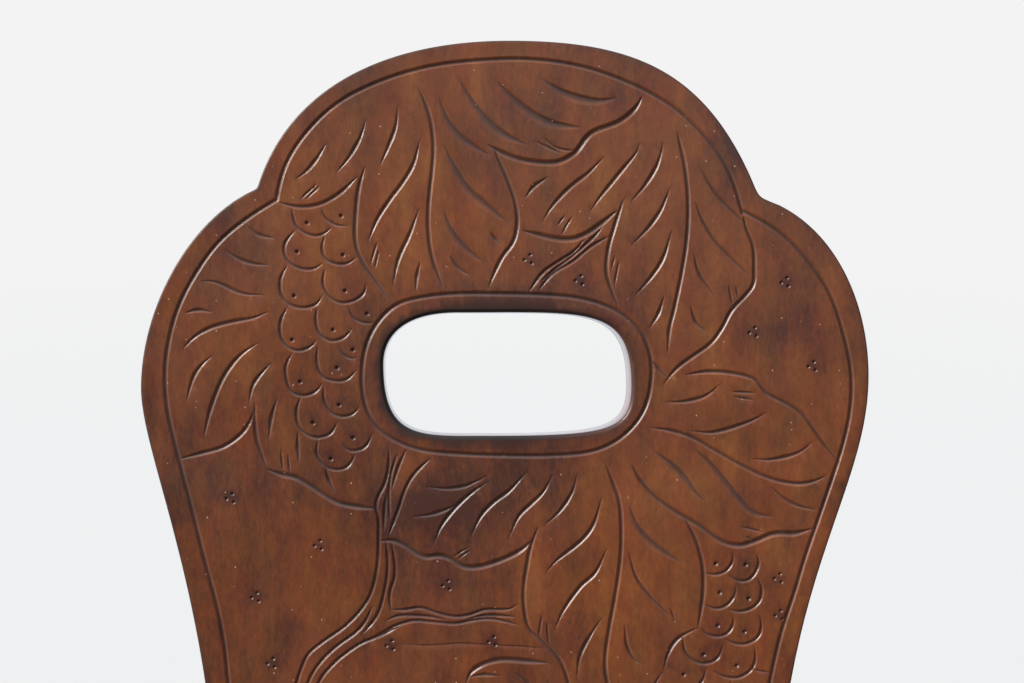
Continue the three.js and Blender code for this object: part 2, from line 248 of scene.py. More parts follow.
LEAF_RIGHT = {
    "edges": [
        [(677, 131), (684, 158), (688, 186), (689, 215), (687, 245), (682, 276), (675, 309), (670, 330),
         (668, 353)],
        [(624, 199), (616, 224), (609, 249), (607, 272), (612, 290), (618, 306)],
        [(743, 213), (747, 229), (754, 247), (755, 269), (754, 285), (746, 296), (732, 311), (723, 328),
         (711, 344), (693, 357), (677, 369), (664, 384)],
    ],
    "veins": [
        [(631, 202), (646, 185), (657, 167), (662, 151), (663, 142)],
        [(632, 245), (650, 227), (661, 211), (667, 197), (670, 188)],
        [(635, 296), (652, 277), (664, 258), (672, 231)],
        [(650, 328), (659, 314), (664, 297)],
        [(701, 169), (711, 186), (725, 204), (745, 224)],
        [(695, 201), (705, 224), (718, 244), (734, 261), (748, 274)],
        [(694, 254), (700, 274), (714, 295)],
        [(691, 307), (697, 323), (707, 332)],
        [(651, 359), (667, 378)],
    ],
    "ticks": [
        [(612, 269), (615, 256)],
        [(615, 285), (619, 262)],
        [(729, 286), (733, 305)],
        [(736, 287), (739, 299)],
    ],
}

LEAF_LEFT = {
    "edges": [
        [(254, 410), (250, 422), (241, 435), (224, 447), (204, 453), (180, 459)],
        [(255, 404), (255, 420), (257, 440), (262, 455), (267, 469)],
    ],
    "deep_edges": [
        [(267, 469), (279, 474), (296, 478), (309, 485), (323, 494), (336, 502), (351, 506), (375, 509)],
    ],
    "veins": [
        [(249, 227), (259, 235), (273, 238)],
        [(225, 250), (239, 259), (254, 264), (268, 265)],
        [(202, 281), (215, 282), (229, 288), (244, 294), (263, 295)],
        [(186, 313), (198, 310), (211, 312)],
        [(183, 349), (195, 337), (211, 328), (233, 322), (254, 318), (268, 312)],
        [(187, 400), (193, 379), (201, 366), (212, 356)],
        [(204, 437), (211, 409), (223, 379), (239, 357), (258, 343)],
        [(249, 403), (254, 384), (270, 364)],
        [(269, 438), (272, 417), (277, 399)],
        [(298, 433), (298, 447), (299, 462)],
        [(325, 467), (330, 482), (335, 492)],
    ],
    "ticks": [
        [(281, 451), (283, 470)],
        [(288, 455), (290, 472)],
    ],
}

STEM = {
    "stems": [
        [(389, 450), (389, 467), (385, 484), (378, 498), (376, 509), (379, 518), (379, 540), (378, 563),
         (373, 589), (363, 608), (345, 627), (325, 641), (309, 654), (302, 668), (297, 683), (290, 710),
         (289, 742), (297, 778), (314, 812), (338, 842), (366, 866), (398, 886), (430, 905), (455, 935),
         (462, 966)],
        [(387, 491), (385, 509), (384, 530)],
        [(397, 455), (391, 475), (389, 496), (390, 519)],
        [(406, 450), (398, 469), (392, 489)],
        [(430, 459), (414, 475), (405, 491), (399, 509), (389, 535)],
        [(386, 541), (388, 560), (387, 580), (380, 610), (371, 625), (362, 634)],
        [(392, 544), (395, 562), (395, 578), (390, 594), (391, 611)],
        [(372, 607), (366, 621), (356, 633), (338, 646), (323, 660), (311, 677), (304, 700), (302, 738),
         (311, 772), (328, 803), (352, 831), (380, 854), (410, 874), (443, 895), (470, 925), (478, 966)],
        [(400, 626), (383, 635), (365, 642), (350, 651), (333, 665), (319, 683), (310, 712), (314, 742),
         (324, 768), (342, 794), (366, 820), (394, 841), (425, 861), (458, 882), (487, 912), (497, 966)],
    ],
}

LEAF_BELOW_HOLE = {
    "deep_edges": [
        [(380, 541), (394, 541), (406, 546), (424, 557), (439, 556), (451, 559), (464, 567), (481, 567),
         (503, 560), (521, 551), (532, 541)],
    ],
    "veins": [
        [(427, 487), (446, 489), (464, 487), (476, 482), (487, 476)],
        [(414, 517), (431, 515), (449, 509), (460, 502)],
        [(434, 544), (442, 526), (455, 509), (471, 494), (488, 482)],
        [(471, 537), (481, 517), (494, 503), (510, 491), (527, 472)],
        [(509, 538), (519, 517), (531, 505), (544, 492), (553, 475)],
        [(545, 525), (558, 514), (568, 501), (574, 489), (577, 475)],
    ],
    "ticks": [
        [(455, 556), (468, 548)],
        [(458, 559), (470, 551)],
    ],
}

BRANCH = {
    "stems": [
        [(391, 610), (406, 610), (421, 608), (437, 613), (455, 617), (471, 615), (485, 610), (501, 610),
         (512, 609), (516, 605)],
        [(386, 621), (399, 616), (417, 616), (431, 617), (444, 620)],
        [(467, 619), (485, 616), (503, 616), (515, 617)],
        [(360, 645), (380, 635), (396, 626), (414, 621), (431, 622), (455, 624), (471, 621), (489, 619),
         (503, 621), (518, 625)],
    ],
}

LEAF_LOWER_MIDDLE = {
    "soft_veins": [
        [(630, 507), (639, 526), (654, 542), (679, 561)],
    ],
    "edges": [
        [(538, 528), (531, 548), (527, 569), (524, 591), (525, 610), (529, 628), (540, 639), (549, 648),
         (560, 660), (568, 680), (573, 708), (582, 740), (598, 768), (620, 792), (644, 808)],
        [(606, 465), (614, 484), (620, 503), (622, 528), (621, 560), (616, 595), (610, 628), (606, 655),
         (606, 671), (608, 683), (613, 712), (622, 745), (634, 776)],
        [(683, 516), (695, 537), (703, 564), (704, 591), (701, 614), (698, 628)],
        [(698, 628), (680, 638), (670, 651), (664, 669)],
        [(662, 673), (655, 686), (650, 706), (656, 730), (662, 758), (658, 785), (645, 808)],
    ],
    "veins": [
        [(546, 573), (558, 560), (581, 542), (594, 525), (602, 498)],
        [(555, 629), (565, 609), (581, 587), (596, 573), (607, 549)],
        [(577, 679), (580, 658), (589, 639), (602, 618)],
        [(629, 553), (637, 578), (652, 598), (671, 617)],
        [(625, 626), (627, 644), (634, 659), (643, 664)],
        [(588, 726), (591, 706), (600, 686)],
        [(605, 766), (606, 746), (612, 730)],
        [(619, 682), (624, 704), (638, 722)],
        [(628, 724), (634, 742), (648, 758)],
    ],
    "ticks": [
        [(539, 638), (542, 616)],
        [(549, 644), (547, 623)],
        [(671, 609), (675, 621)],
    ],
}

LEAF_LOWER_RIGHT = {
    "edges": [
        [(686, 375), (707, 372), (729, 373), (754, 379), (768, 394), (789, 405), (805, 417), (818, 435),
         (830, 451), (837, 460)],
        [(652, 428), (671, 431), (693, 438), (716, 451), (739, 464), (761, 475), (782, 482), (802, 484),
         (816, 481), (826, 476)],
    ],
    "deep_edges": [
        [(633, 466), (641, 480), (657, 498), (679, 514), (700, 526), (721, 541), (739, 546), (755, 542),
         (775, 534), (795, 534), (812, 529)],
    ],
    "soft_veins": [
        [(656, 452), (671, 462), (686, 476), (696, 491), (704, 500)],
        [(696, 450), (711, 462), (725, 478), (743, 500), (755, 512), (771, 516)],
    ],
    "veins": [
        [(666, 402), (684, 402), (702, 398), (712, 392), (719, 385)],
        [(692, 431), (711, 433), (730, 429), (752, 421), (766, 413)],
        [(754, 459), (771, 460), (791, 456), (804, 450), (812, 442)],
        [(772, 487), (784, 498), (798, 506), (816, 510)],
    ],
    "ticks": [
        [(733, 392), (754, 393)],
        [(735, 397), (752, 400)],
        [(742, 527), (762, 532)],
        [(745, 537), (754, 540)],
        [(754, 670), (769, 673)],
    ],
}

LEAF_UNDER_BRANCH = {
    "deep_edges": [
        [(467, 682), (471, 673), (485, 664), (503, 660), (521, 661), (547, 663)],
    ],
    "edges": [
        [(467, 682), (456, 700), (449, 724), (451, 750), (463, 774), (484, 793)],
        [(548, 680), (556, 704), (553, 732), (540, 757), (516, 778), (484, 794)],
        [(503, 690), (502, 714), (498, 742), (491, 770)],
    ],
    "veins": [
        [(471, 677), (483, 675), (499, 676)],
        [(515, 673), (528, 683), (541, 700)],
        [(466, 705), (476, 718), (488, 727)],
        [(464, 742), (474, 755), (486, 762)],
        [(512, 712), (524, 727), (538, 738)],
        [(507, 744), (517, 756), (528, 762)],
    ],
}

# Nothing from here to the bunches is in the photograph, which ends above it: the vine goes on
# down to the seat with the leaves that the board's width leaves room for.

LEAF_BOTTOM_LEFT = {
    "edges": [
        [(292, 862), (276, 850), (264, 832), (261, 808), (268, 786), (281, 770)],
        [(292, 862), (304, 884), (322, 904), (346, 918), (372, 924)],
        [(283, 793), (290, 822), (306, 850), (328, 876), (354, 896)],
    ],
    "veins": [
        [(277, 836), (281, 820), (279, 803)],
        [(296, 856), (300, 838), (297, 821)],
        [(312, 884), (318, 868), (318, 853)],
        [(318, 836), (330, 848), (346, 858)],
        [(338, 862), (352, 872), (369, 880)],
    ],
}

LEAF_BOTTOM_RIGHT = {
    "edges": [
        [(541, 950), (536, 920), (544, 890), (564, 864), (592, 846), (624, 838)],
        [(541, 950), (574, 956), (608, 950), (638, 934), (662, 910), (676, 880)],
        [(548, 944), (580, 922), (614, 896), (646, 866), (668, 838)],
    ],
    "deep_edges": [
        [(624, 838), (646, 828), (672, 826), (690, 838), (692, 858), (676, 880)],
    ],
    "veins": [
        [(556, 922), (560, 902), (572, 884)],
        [(584, 902), (588, 882), (600, 866)],
        [(614, 880), (620, 862), (634, 850)],
        [(580, 938), (602, 934), (622, 922)],
        [(612, 916), (634, 908), (650, 894)],
        [(642, 888), (660, 878), (672, 862)],
    ],
}

# Each grape is a punched dot and the arc of its lower side

GRAPES_LEFT = [
    ((341, 216), [(321, 208), (326, 218), (336, 225), (347, 226)]),
    ((307, 223), [(292, 209), (295, 223), (302, 231), (314, 236), (324, 234), (331, 228)]),
    ((343, 255), [(325, 236), (322, 248), (326, 259), (336, 264), (347, 264), (356, 258)]),
    ((297, 252), [(295, 231), (287, 240), (284, 251), (290, 263), (302, 269), (314, 269), (322, 264)]),
    ((345, 291), [(325, 269), (323, 283), (329, 296), (341, 303), (354, 301), (364, 294), (366, 284)]),
    ((294, 296), [(287, 266), (281, 278), (281, 293), (289, 304), (302, 308), (316, 305), (322, 296)]),
    ((367, 314), [(348, 306), (354, 318), (364, 323), (373, 323)]),
    ((333, 330), [(317, 308), (316, 321), (320, 334), (331, 341), (344, 338), (352, 329)]),
    ((292, 340), [(287, 308), (281, 321), (281, 336), (288, 347), (299, 351), (311, 347), (316, 341)]),
    ((353, 350), [(339, 346), (344, 355), (352, 359), (356, 358)]),
    ((337, 368), [(318, 347), (317, 361), (322, 376), (334, 381), (347, 380), (356, 371)]),
    ((300, 382), [(292, 354), (286, 366), (287, 381), (292, 392), (304, 396), (316, 392), (322, 384)]),
    ((339, 405), [(324, 386), (324, 399), (331, 412), (342, 417), (354, 414), (359, 407)]),
    ((313, 423), [(301, 397), (297, 409), (298, 424), (306, 434), (317, 438), (331, 434), (337, 423)]),
    ((353, 438), [(342, 442), (348, 450), (356, 451), (366, 447), (372, 435)]),
    ((331, 459), [(318, 440), (317, 454), (325, 466), (336, 470), (348, 467), (355, 455)]),
]

GRAPES_RIGHT = [
    ((716, 564), [(705, 573), (716, 575), (727, 571), (733, 562), (733, 553)]),
    ((746, 565), [(729, 575), (739, 581), (750, 580), (758, 569), (759, 559), (755, 553)]),
    ((720, 593), [(706, 605), (716, 609), (727, 606), (735, 596), (736, 587)]),
    ((749, 599), [(729, 609), (739, 612), (752, 609), (761, 600), (762, 587), (757, 578)]),
    ((718, 626), [(701, 628), (707, 634), (718, 637), (729, 633), (734, 623), (733, 616)]),
    ((745, 632), [(725, 639), (736, 644), (748, 644), (759, 637), (762, 626), (760, 616)]),
    ((704, 655), [(683, 637), (685, 650), (693, 660), (705, 664), (718, 659), (723, 646)]),
    ((737, 666), [(714, 671), (725, 677), (739, 678), (752, 670), (756, 659), (755, 648)]),
    ((684, 675), [(672, 687), (682, 692), (694, 690), (703, 681), (706, 669)]),
    ((715, 695), [(697, 697), (703, 706), (714, 709), (726, 704), (732, 693), (731, 682)]),
    ((740, 702), [(730, 710), (740, 714), (749, 708), (752, 697), (749, 686)]),
    ((690, 712), [(676, 722), (684, 728), (696, 726), (704, 717), (705, 709)]),
    ((722, 730), [(706, 734), (713, 742), (725, 742), (735, 733), (736, 720)]),
    ((699, 748), [(684, 752), (690, 761), (702, 761), (711, 752), (713, 743)]),
    ((712, 775), [(698, 778), (704, 787), (716, 786), (723, 776), (721, 764)]),
]

STARS = [
    (529, 259), (580, 280), (786, 282), (754, 332), (813, 366), (231, 498), (319, 545), (256, 597),
    (272, 663), (391, 645), (447, 585), (493, 641), (779, 578), (780, 615), (256, 742), (352, 716),
    (400, 770), (430, 820), (552, 812), (519, 868), (722, 822), (716, 906), (276, 922), (410, 940),
]

# A fine crack, and the scratches and chatter marks of use and of the tools

WEAR = {
    "crack": [[(402, 644), (430, 645), (462, 643), (495, 645), (522, 646), (549, 649)]],
    "scratches": [
        [(571, 619), (574, 613)],
        [(576, 623), (580, 614)],
        [(581, 627), (586, 615)],
        [(578, 640), (583, 630)],
        [(584, 646), (590, 633)],
        [(640, 524), (644, 531)],
    ],
}

CARVED_LINES = [
    WEAR, BORDER, RIM, LEAF_TOP_LEFT, LEAF_TOP, LEAF_TOP_RIGHT, TWIGS_ABOVE_HOLE, LEAF_RIGHT, LEAF_LEFT, STEM,
    LEAF_BELOW_HOLE, BRANCH, LEAF_LOWER_MIDDLE, LEAF_LOWER_RIGHT, LEAF_UNDER_BRANCH, LEAF_BOTTOM_LEFT,
    LEAF_BOTTOM_RIGHT,
]
GRAPES = GRAPES_LEFT + GRAPES_RIGHT

# Soft patches in the stain: the middle and reach of each, in pixels, and how much lighter the stain
# is in its middle, or darker where that is below 0. The two broad ones, lighter round (380, 200) and
# darker round (400, 600), are painted light, making the board lighter above and darker below.

PATCHES = [
    ((380, 200), (120, 110), 0.4), ((400, 600), (190, 100), -0.35), ((700, 650), (50, 30), -0.6),
    ((445, 502), (80, 28), -1.4), ((525, 472), (60, 22), -0.9), ((500, 300), (120, 18), -0.9),
    ((570, 450), (70, 16), -0.7), ((760, 330), (40, 26), -0.5), ((730, 148), (26, 50), -0.6),
    ((490, 218), (40, 34), 0.4), ((184, 520), (16, 70), -0.3), ((284, 330), (18, 100), 0.5),
    ((312, 405), (30, 60), -1.1), ((255, 580), (18, 44), -0.4), ((280, 645), (16, 20), -0.4),
    ((856, 360), (14, 90), -0.5), ((376, 320), (18, 50), -0.1), ((700, 250), (22, 60), -0.5),
    ((225, 245), (26, 30), -0.5), ((190, 335), (14, 50), -0.6), ((602, 195), (40, 44), 0.6),
    ((222, 345), (40, 60), 0.9), ((705, 470), (70, 34), 0.8), ((700, 548), (26, 56), 0.8),
    ((345, 488), (26, 16), 0.5), ((402, 482), (14, 26), 0.8), ((540, 585), (26, 50), 0.8),
    ((605, 610), (20, 60), 1.0), ((250, 480), (50, 30), -0.7), ((580, 570), (14, 44), -0.6),
    ((465, 545), (70, 32), -0.8), ((345, 645), (50, 22), -0.5), ((815, 510), (20, 50), -0.5),
    ((620, 150), (40, 50), 0.4), ((590, 290), (60, 20), -0.4), ((510, 115), (70, 50), -0.3),
    ((795, 300), (34, 60), -0.2), ((350, 592), (22, 26), 0.7), ((635, 480), (20, 20), -0.5),
    ((740, 378), (60, 26), 0.8), ((760, 525), (24, 40), 0.6), ((280, 180), (20, 30), -0.4),
    ((670, 580), (14, 50), -0.4), ((800, 605), (26, 50), 0.6), ((200, 550), (30, 50), 0.3),
    ((440, 665), (40, 20), 0.6),
]

# It is darker by this much beside the hole and at the outer edge, and less so further off

HOLE_EDGE_TONE = -1.6
HOLE_EDGE_REACH_MM = 5
# At the outer edge this darkening is painted shade, of rounded edges that face away from the light, put all
# round the board's sides and rims
OUTER_EDGE_PAINTED_SHADE = -1.1
OUTER_EDGE_REACH_MM = 1.6

# Stain has gathered round the punched dots, and a little above each grape's

Halo = namedtuple("Halo", "lift_mm reach_mm strength")
GRAPE_HALO = Halo(1.2, 2.2, -0.7)
STAR_HALO = Halo(0, 3.4, -1.1)

# Hands have darkened the hole's front edge, fully up to the first distance from it and not at all
# beyond the second. Its lit right end is lighter by this much, from this share of its half width on,
# so the darker rest of the edge is partly painted shade.
# The board's outer edge is a little darker and duller in front and worn behind.

HOLE_GRIME_AND_SHADE_MM = (1.8, 3.4)
LIT_END_SHARE = 0.85
LIT_END_START = 0.1
OUTER_EDGE_DARKENING = 0.6
BACK_EDGE_WEAR = 0.6


# Places on the board

def photo_to_board(pixel):
    """The place (u, s) on the board's front face, in millimetres, that a pixel shows."""
    u = CAMERA_U_MM + (pixel[0] - AXIS_PIXEL[0]) * MM_PER_PIXEL
    s = CAMERA_S_MM - (pixel[1] - AXIS_PIXEL[1]) * MM_PER_PIXEL
    return u, s


def board_to_chair(u, s, n):
    """Millimetres in the board's frame, as numbers or arrays, to metres in the chair's."""
    columns = [board_foot[i] + MM * (u * along_u[i] + s * along_s[i] + n * along_n[i]) for i in range(3)]
    return np.stack(np.broadcast_arrays(*columns), axis=-1)


def foot_level(n):
    """How far up the board its level foot is, for a distance n from its middle plane."""
    return SHOULDER_GAP / MM / math.cos(LEAN) - n * math.tan(LEAN)


# Curves in the plane

CURVE_STEPS = 12
FEWEST_STATIONS = 3


def bezier(ends_and_handles, steps):
    """Points along a cubic curve, given its first end, its two handles and its other end."""
    t = np.linspace(0, 1, steps + 1)[:, None]
    a, b, c, d = (np.array(p, float) for p in ends_and_handles)
    return (1 - t) ** 3 * a + 3 * (1 - t) ** 2 * t * b + 3 * (1 - t) * t**2 * c + t**3 * d


def is_closed(path):
    return np.allclose(path[0], path[-1])


def curve_through(points):
    """Closely spaced points on a smooth curve through the given ones, or on a line between two."""
    if len(points) == 2:
        return points[0] + (points[1] - points[0]) * np.linspace(0, 1, CURVE_STEPS)[:, None]
    closed = is_closed(points)
    before = points[-2] if closed else 2 * points[0] - points[1]
    after = points[1] if closed else 2 * points[-1] - points[-2]
    padded = np.vstack([before, points, after])
    t = np.linspace(0, 1, CURVE_STEPS, endpoint=False)[:, None]
    pieces = [
        0.5 * (2 * b + (c - a) * t + (2 * a - 5 * b + 4 * c - d) * t**2 + (3 * b - a - 3 * c + d) * t**3)
        for a, b, c, d in zip(padded, padded[1:], padded[2:], padded[3:])
    ]
    return np.vstack([*pieces, points[-1:]])


def smooth_path(points, spacing):
    """Points at an even spacing along a smooth curve through the given ones."""
    curve = curve_through(np.array(points, float))
    steps = np.linalg.norm(np.diff(curve, axis=0), axis=1)
    length = np.concatenate([[0], np.cumsum(steps)])
    count = max(FEWEST_STATIONS, round(length[-1] / spacing) + 1)
    wanted = np.linspace(0, length[-1], count)
    return np.stack([np.interp(wanted, length, curve[:, i]) for i in range(2)], axis=1)


def calmed(path, passes):
    """The path with its small wobbles drawn out. Its ends stay, unless it closes on itself."""
    closed = is_closed(path)
    for _ in range(passes):
        middle = (path[:-2] + 2 * path[1:-1] + path[2:]) / 4
        first, last = path[0], path[-1]
        if closed:
            first = last = (path[-2] + 2 * path[0] + path[1]) / 4
        path = np.vstack([first, middle, last])
    return path


def left_normals(path):
    """Unit vectors square to the path, towards its left."""
    tangent = np.gradient(path, axis=0)
    tangent /= np.linalg.norm(tangent, axis=1)[:, None]
    return np.stack([-tangent[:, 1], tangent[:, 0]], axis=1)


def inside(points, polygon):
    """Which of the points lie inside a polygon."""
    x, y = points[:, 0, None], points[:, 1, None]
    x1, y1 = polygon[:, 0], polygon[:, 1]
    x2, y2 = np.roll(x1, -1), np.roll(y1, -1)
    rise = np.where(y1 == y2, 1, y2 - y1)
    crosses = ((y1 > y) != (y2 > y)) & (x < (x2 - x1) * (y - y1) / rise + x1)
    return crosses.sum(axis=1) % 2 == 1


def boxed(points, path, margin):
    """Which of the points lie in the path's bounding box, widened by a margin."""
    low, high = path.min(0) - margin, path.max(0) + margin
    return np.all((points > low) & (points < high), axis=1)


def shrunken(loop, inset):
    """A loop moved towards its middle by roughly the inset, for a rough test of what is inside."""
    middle = (loop.min(0) + loop.max(0)) / 2
    half = (loop.max(0) - loop.min(0)) / 2
    return middle + (loop - middle) * (1 - inset / half)


def nearest_distance(points, loop):
    """How far each point is, seen square to the board, from the nearest point of a loop."""
    distance = np.full(len(points), np.inf)
    for p in loop:
        distance = np.minimum(distance, np.hypot(points[:, 0] - p[0], points[:, 1] - p[1]))
    return distance


# The board's outline and hand hole, as points with the directions that point out of the wood

OUTLINE_STEPS = 64
NOTCH_STEPS = 8
WAIST_STEPS = 14
HOLE_QUARTER_STEPS = 40


def curves(start, shares, centre, size, steps):
    """A chain of curves, given as shares of a size on either side of a centre."""
    chain = []
    for handles in shares:
        chain.append(bezier([centre + np.array(p) * size for p in (start, *handles)], steps))
        start = handles[-1]
    return chain


def side_outline(side):
    """The curves of one side of the outline, from the apex down to the foot."""
    size = np.array([BOARD_HALF_WIDTH_MM, BOARD_HEIGHT_MM])
    chain = curves(APEX_SHARE, OUTLINE_SHARES[side], np.zeros(2), size, OUTLINE_STEPS)
    waist = chain[-1][-1]
    foot = np.array([waist[0], 0.0])
    return chain + [waist + (foot - waist) * np.linspace(0, 1, WAIST_STEPS + 1)[:, None]]


def board_outline():
    """From the foot on the left, over the top, to the foot on the right."""
    left = [stretch[::-1] for stretch in reversed(side_outline("left"))]
    first, *others = left + side_outline("right")
    points, normals = list(first), list(left_normals(first))
    for stretch in others:
        corner, out = stretch[0], left_normals(stretch)
        keep = np.arange(len(stretch)) > 0
        if np.dot(normals[-1], out[0]) < math.cos(NOTCH_LEAST_TURN):
            ease = NOTCH_EASE_MM["left" if corner[0] < 0 else "right"]
            clear = NOTCH_CLEARANCE * ease
            while np.linalg.norm(points[-1] - corner) < clear:
                points.pop()
                normals.pop()
            keep = np.linalg.norm(stretch - corner, axis=1) > clear
            curve = eased_notch(points[-1], corner, stretch[keep][0], ease)
            points.extend(curve)
            normals.extend(left_normals(curve))
        points.extend(stretch[keep])
        normals.extend(out[keep])
    return np.array(points), np.array(normals)


def eased_notch(before, corner, after, ease):
    """A small curve past a corner, from one of its sides to the other."""
    start = corner + ease * (before - corner) / np.linalg.norm(before - corner)
    end = corner + ease * (after - corner) / np.linalg.norm(after - corner)
    return bezier((start, corner, corner, end), NOTCH_STEPS)


def hand_hole_outline():
    """Round the hole, with the directions that point out of the wood, towards its middle."""
    half_size = np.array([HAND_HOLE_WIDTH_MM, HAND_HOLE_HEIGHT_MM]) / 2
    quarters = curves(HAND_HOLE_START, HAND_HOLE_SHARES, HAND_HOLE_CENTRE_MM, half_size, HOLE_QUARTER_STEPS)
    points = np.vstack([quarter[:-1] for quarter in quarters])
    normals = np.vstack([-left_normals(quarter)[:-1] for quarter in quarters])
    return points, normals


# Grooves and dots. The two long lines are drawn with wider steps, and calmed more. With a taper
# power below 1, a cut widens quickly from its tip.

STATION_MM = 0.95
CALMING_PASSES = 4
LONG_LINE_STATION_MM = 1.3
LONG_LINE_CALMING_PASSES = {"border": 40, "rim": 20}
TAPER_POWER = 0.62
BOTTOM_ROUNDING = 0.2
LEAST_WIDTH_MM = 1e-6
STATIONS_IN_A_PIECE = 16

# Where the mesh has its points. Rows run beside a groove's bottom at these shares of its half
# width, except where that is under THINNEST_MM. Rings round a dot's middle have these shares of its
# half width and counts of points. Both have one line more, MARGIN_MM outside the cut, and a dot has
# a far ring too. No two of these points are closer than APART_MM.

ROW_SHARES = [-0.38, 0.38, -0.72, 0.72, -1, 1]
RING_SHARES = [(0.4, 8), (0.72, 11), (1, 14)]
OUTSIDE_RING_POINTS = 14
FAR_RING_SHARE = (2.4, 8)
MARGIN_MM = 0.45
THINNEST_MM = 0.14
APART_MM = 0.22

Groove = namedtuple("Groove", "path half_width depth lean")
Pit = namedtuple("Pit", "centre half_width depth")


def drawn_path(pixels, kind):
    """The curve that a line of the carving follows on the board."""
    spacing = LONG_LINE_STATION_MM if kind in LONG_LINE_CALMING_PASSES else STATION_MM
    path = smooth_path([photo_to_board(p) for p in pixels], spacing)
    return calmed(path, LONG_LINE_CALMING_PASSES.get(kind, CALMING_PASSES))


def with_tips(path):
    """The path, run on by a step at both ends, where a cut is too thin to be seen."""
    return np.vstack([2 * path[0] - path[1], path, 2 * path[-1] - path[-2]])


def carved(path, cut):
    """The groove that a tool leaves along a path, tapered towards its ends."""
    if cut.taper:
        path = with_tips(path)
    along = np.arange(len(path)) * np.linalg.norm(np.diff(path, axis=0), axis=1).mean()
    to_end = np.minimum(along, along[-1] - along)
    taper = min(cut.taper, 0.5 * along[-1])
    share = np.clip(to_end / taper, 0, 1) ** TAPER_POWER if taper else np.ones(len(path))
    return Groove(path, cut.half_width * share, cut.depth * share, np.array(cut.lean))


def all_grooves():
    grooves = []
    for lines in CARVED_LINES:
        for kind, paths in lines.items():
            for pixels in paths:
                grooves.append(carved(drawn_path(pixels, kind), CUTS_MM[kind]))
    for _, arc in GRAPES:
        grooves.append(carved(drawn_path(arc, "arcs"), CUTS_MM["arcs"]))
    return grooves


def punched(pixel, dot):
    return Pit(np.array(photo_to_board(pixel)), dot.half_width, dot.depth)


def all_pits():
    pits = [punched(dot, GRAPE_DOT) for dot, _ in GRAPES]
    for x, y in STARS:
        pits += [punched((x + dx, y + dy), STAR_DOT) for dx, dy in STAR_DOT_PLACES]
    return pits


def reach(groove):
    """The furthest that a groove's edge lies from its path, which runs along its bottom."""
    return groove.half_width.max() * (1 + np.linalg.norm(groove.lean))


def hollow(across, narrower=0.0):
    """A cut's cross-section: 1 at its rounded bottom, 0 at its edges and beyond. across counts
    half widths to the left of the bottom, and the left wall is the narrower by the given share."""
    share = np.abs(across) / (1 - np.sign(across) * narrower)
    full = math.hypot(1, BOTTOM_ROUNDING)
    return np.clip((full - np.hypot(share, BOTTOM_ROUNDING)) / (full - BOTTOM_ROUNDING), 0, 1)


def groove_rows(groove):
    """Rows of points along a groove: its bottom, its two walls, its edges and just outside them."""
    normals = left_normals(groove.path)
    narrower = normals @ groove.lean
    wide = groove.half_width > THINNEST_MM
    rows = [groove.path]
    for share in ROW_SHARES:
        across = share * (1 - np.sign(share) * narrower) * groove.half_width
        rows.append((groove.path + normals * across[:, None])[wide])
    for side in (-1, 1):
        across = side * ((1 - side * narrower) * groove.half_width + MARGIN_MM)
        rows.append(groove.path + normals * across[:, None])
    return rows


def pit_rings(pit):
    """Rings of points in a punched dot, round it and further out."""
    just_outside = (1 + MARGIN_MM / pit.half_width, OUTSIDE_RING_POINTS)
    rings = [pit.centre[None, :]]
    for share, count in (*RING_SHARES, just_outside, FAR_RING_SHARE):
        angle = np.linspace(0, 2 * math.pi, count, endpoint=False)
        ring = np.stack([np.cos(angle), np.sin(angle)], axis=1)
        rings.append(pit.centre + ring * share * pit.half_width)
    return rings


def short_pieces(groove):
    """The groove as pieces of a few stations each, so that each meets few of the mesh's points."""
    for start in range(0, len(groove.path) - 1, STATIONS_IN_A_PIECE):
        part = slice(start, start + STATIONS_IN_A_PIECE + 1)
        yield Groove(groove.path[part], groove.half_width[part], groove.depth[part], groove.lean)


def groove_depths(points, groove):
    """How deep a groove is at each point, and the same as a share of its depth there."""
    step = np.diff(groove.path, axis=0)
    length = np.linalg.norm(step, axis=1)
    left = np.stack([-step[:, 1], step[:, 0]], axis=1) / length[:, None]
    offset = points[:, None, :] - groove.path[None, :-1]
    t = np.clip((offset * step).sum(2) / length**2, 0, 1)
    distance = np.linalg.norm(offset - t[..., None] * step, axis=2)
    side = np.sign((offset * left).sum(2))
    width = groove.half_width[:-1] * (1 - t) + groove.half_width[1:] * t
    full_depth = groove.depth[:-1] * (1 - t) + groove.depth[1:] * t
    share = hollow(side * distance / np.maximum(width, LEAST_WIDTH_MM), left @ groove.lean)
    depth = full_depth * share
    best = depth.argmax(axis=1)
    rows = np.arange(len(points))
    return depth[rows, best], share[rows, best]


def cut_depths(points, grooves, pits):
    """How deep the carving is at each point, and the same as a share of its own cut's depth."""
    depth = np.zeros(len(points))
    share = np.zeros(len(points))

    def deepen(where, new_depth, new_share):
        depth[where] = np.maximum(depth[where], new_depth)
        share[where] = np.maximum(share[where], new_share)

    for groove in grooves:
        for piece in short_pieces(groove):
            where = np.flatnonzero(boxed(points, piece.path, reach(piece)))
            deepen(where, *groove_depths(points[where], piece))
    for pit in pits:
        distance = np.linalg.norm(points - pit.centre, axis=1)
        where = np.flatnonzero(distance < pit.half_width)
        shape = hollow(distance[where] / pit.half_width)
        deepen(where, pit.depth * shape, shape)
    return depth, share


def thinned(points, apart, kept):
    """The points, in order, without those that lie too near an earlier one or one already kept."""
    chosen = []
    for i, (x, y) in enumerate(points):
        column, row = int(x // apart), int(y // apart)
        cells = ((c, r) for c in (column - 1, column, column + 1) for r in (row - 1, row, row + 1))
        if all((x - p[0]) ** 2 + (y - p[1]) ** 2 >= apart**2 for cell in cells for p in kept.get(cell, ())):
            kept.setdefault((column, row), []).append((x, y))
            chosen.append(i)
    return points[chosen]


# The board's two faces. Planing has left slight waves, always into the wood, which fade out
# towards the rims, so that the faces meet the rounded edges.

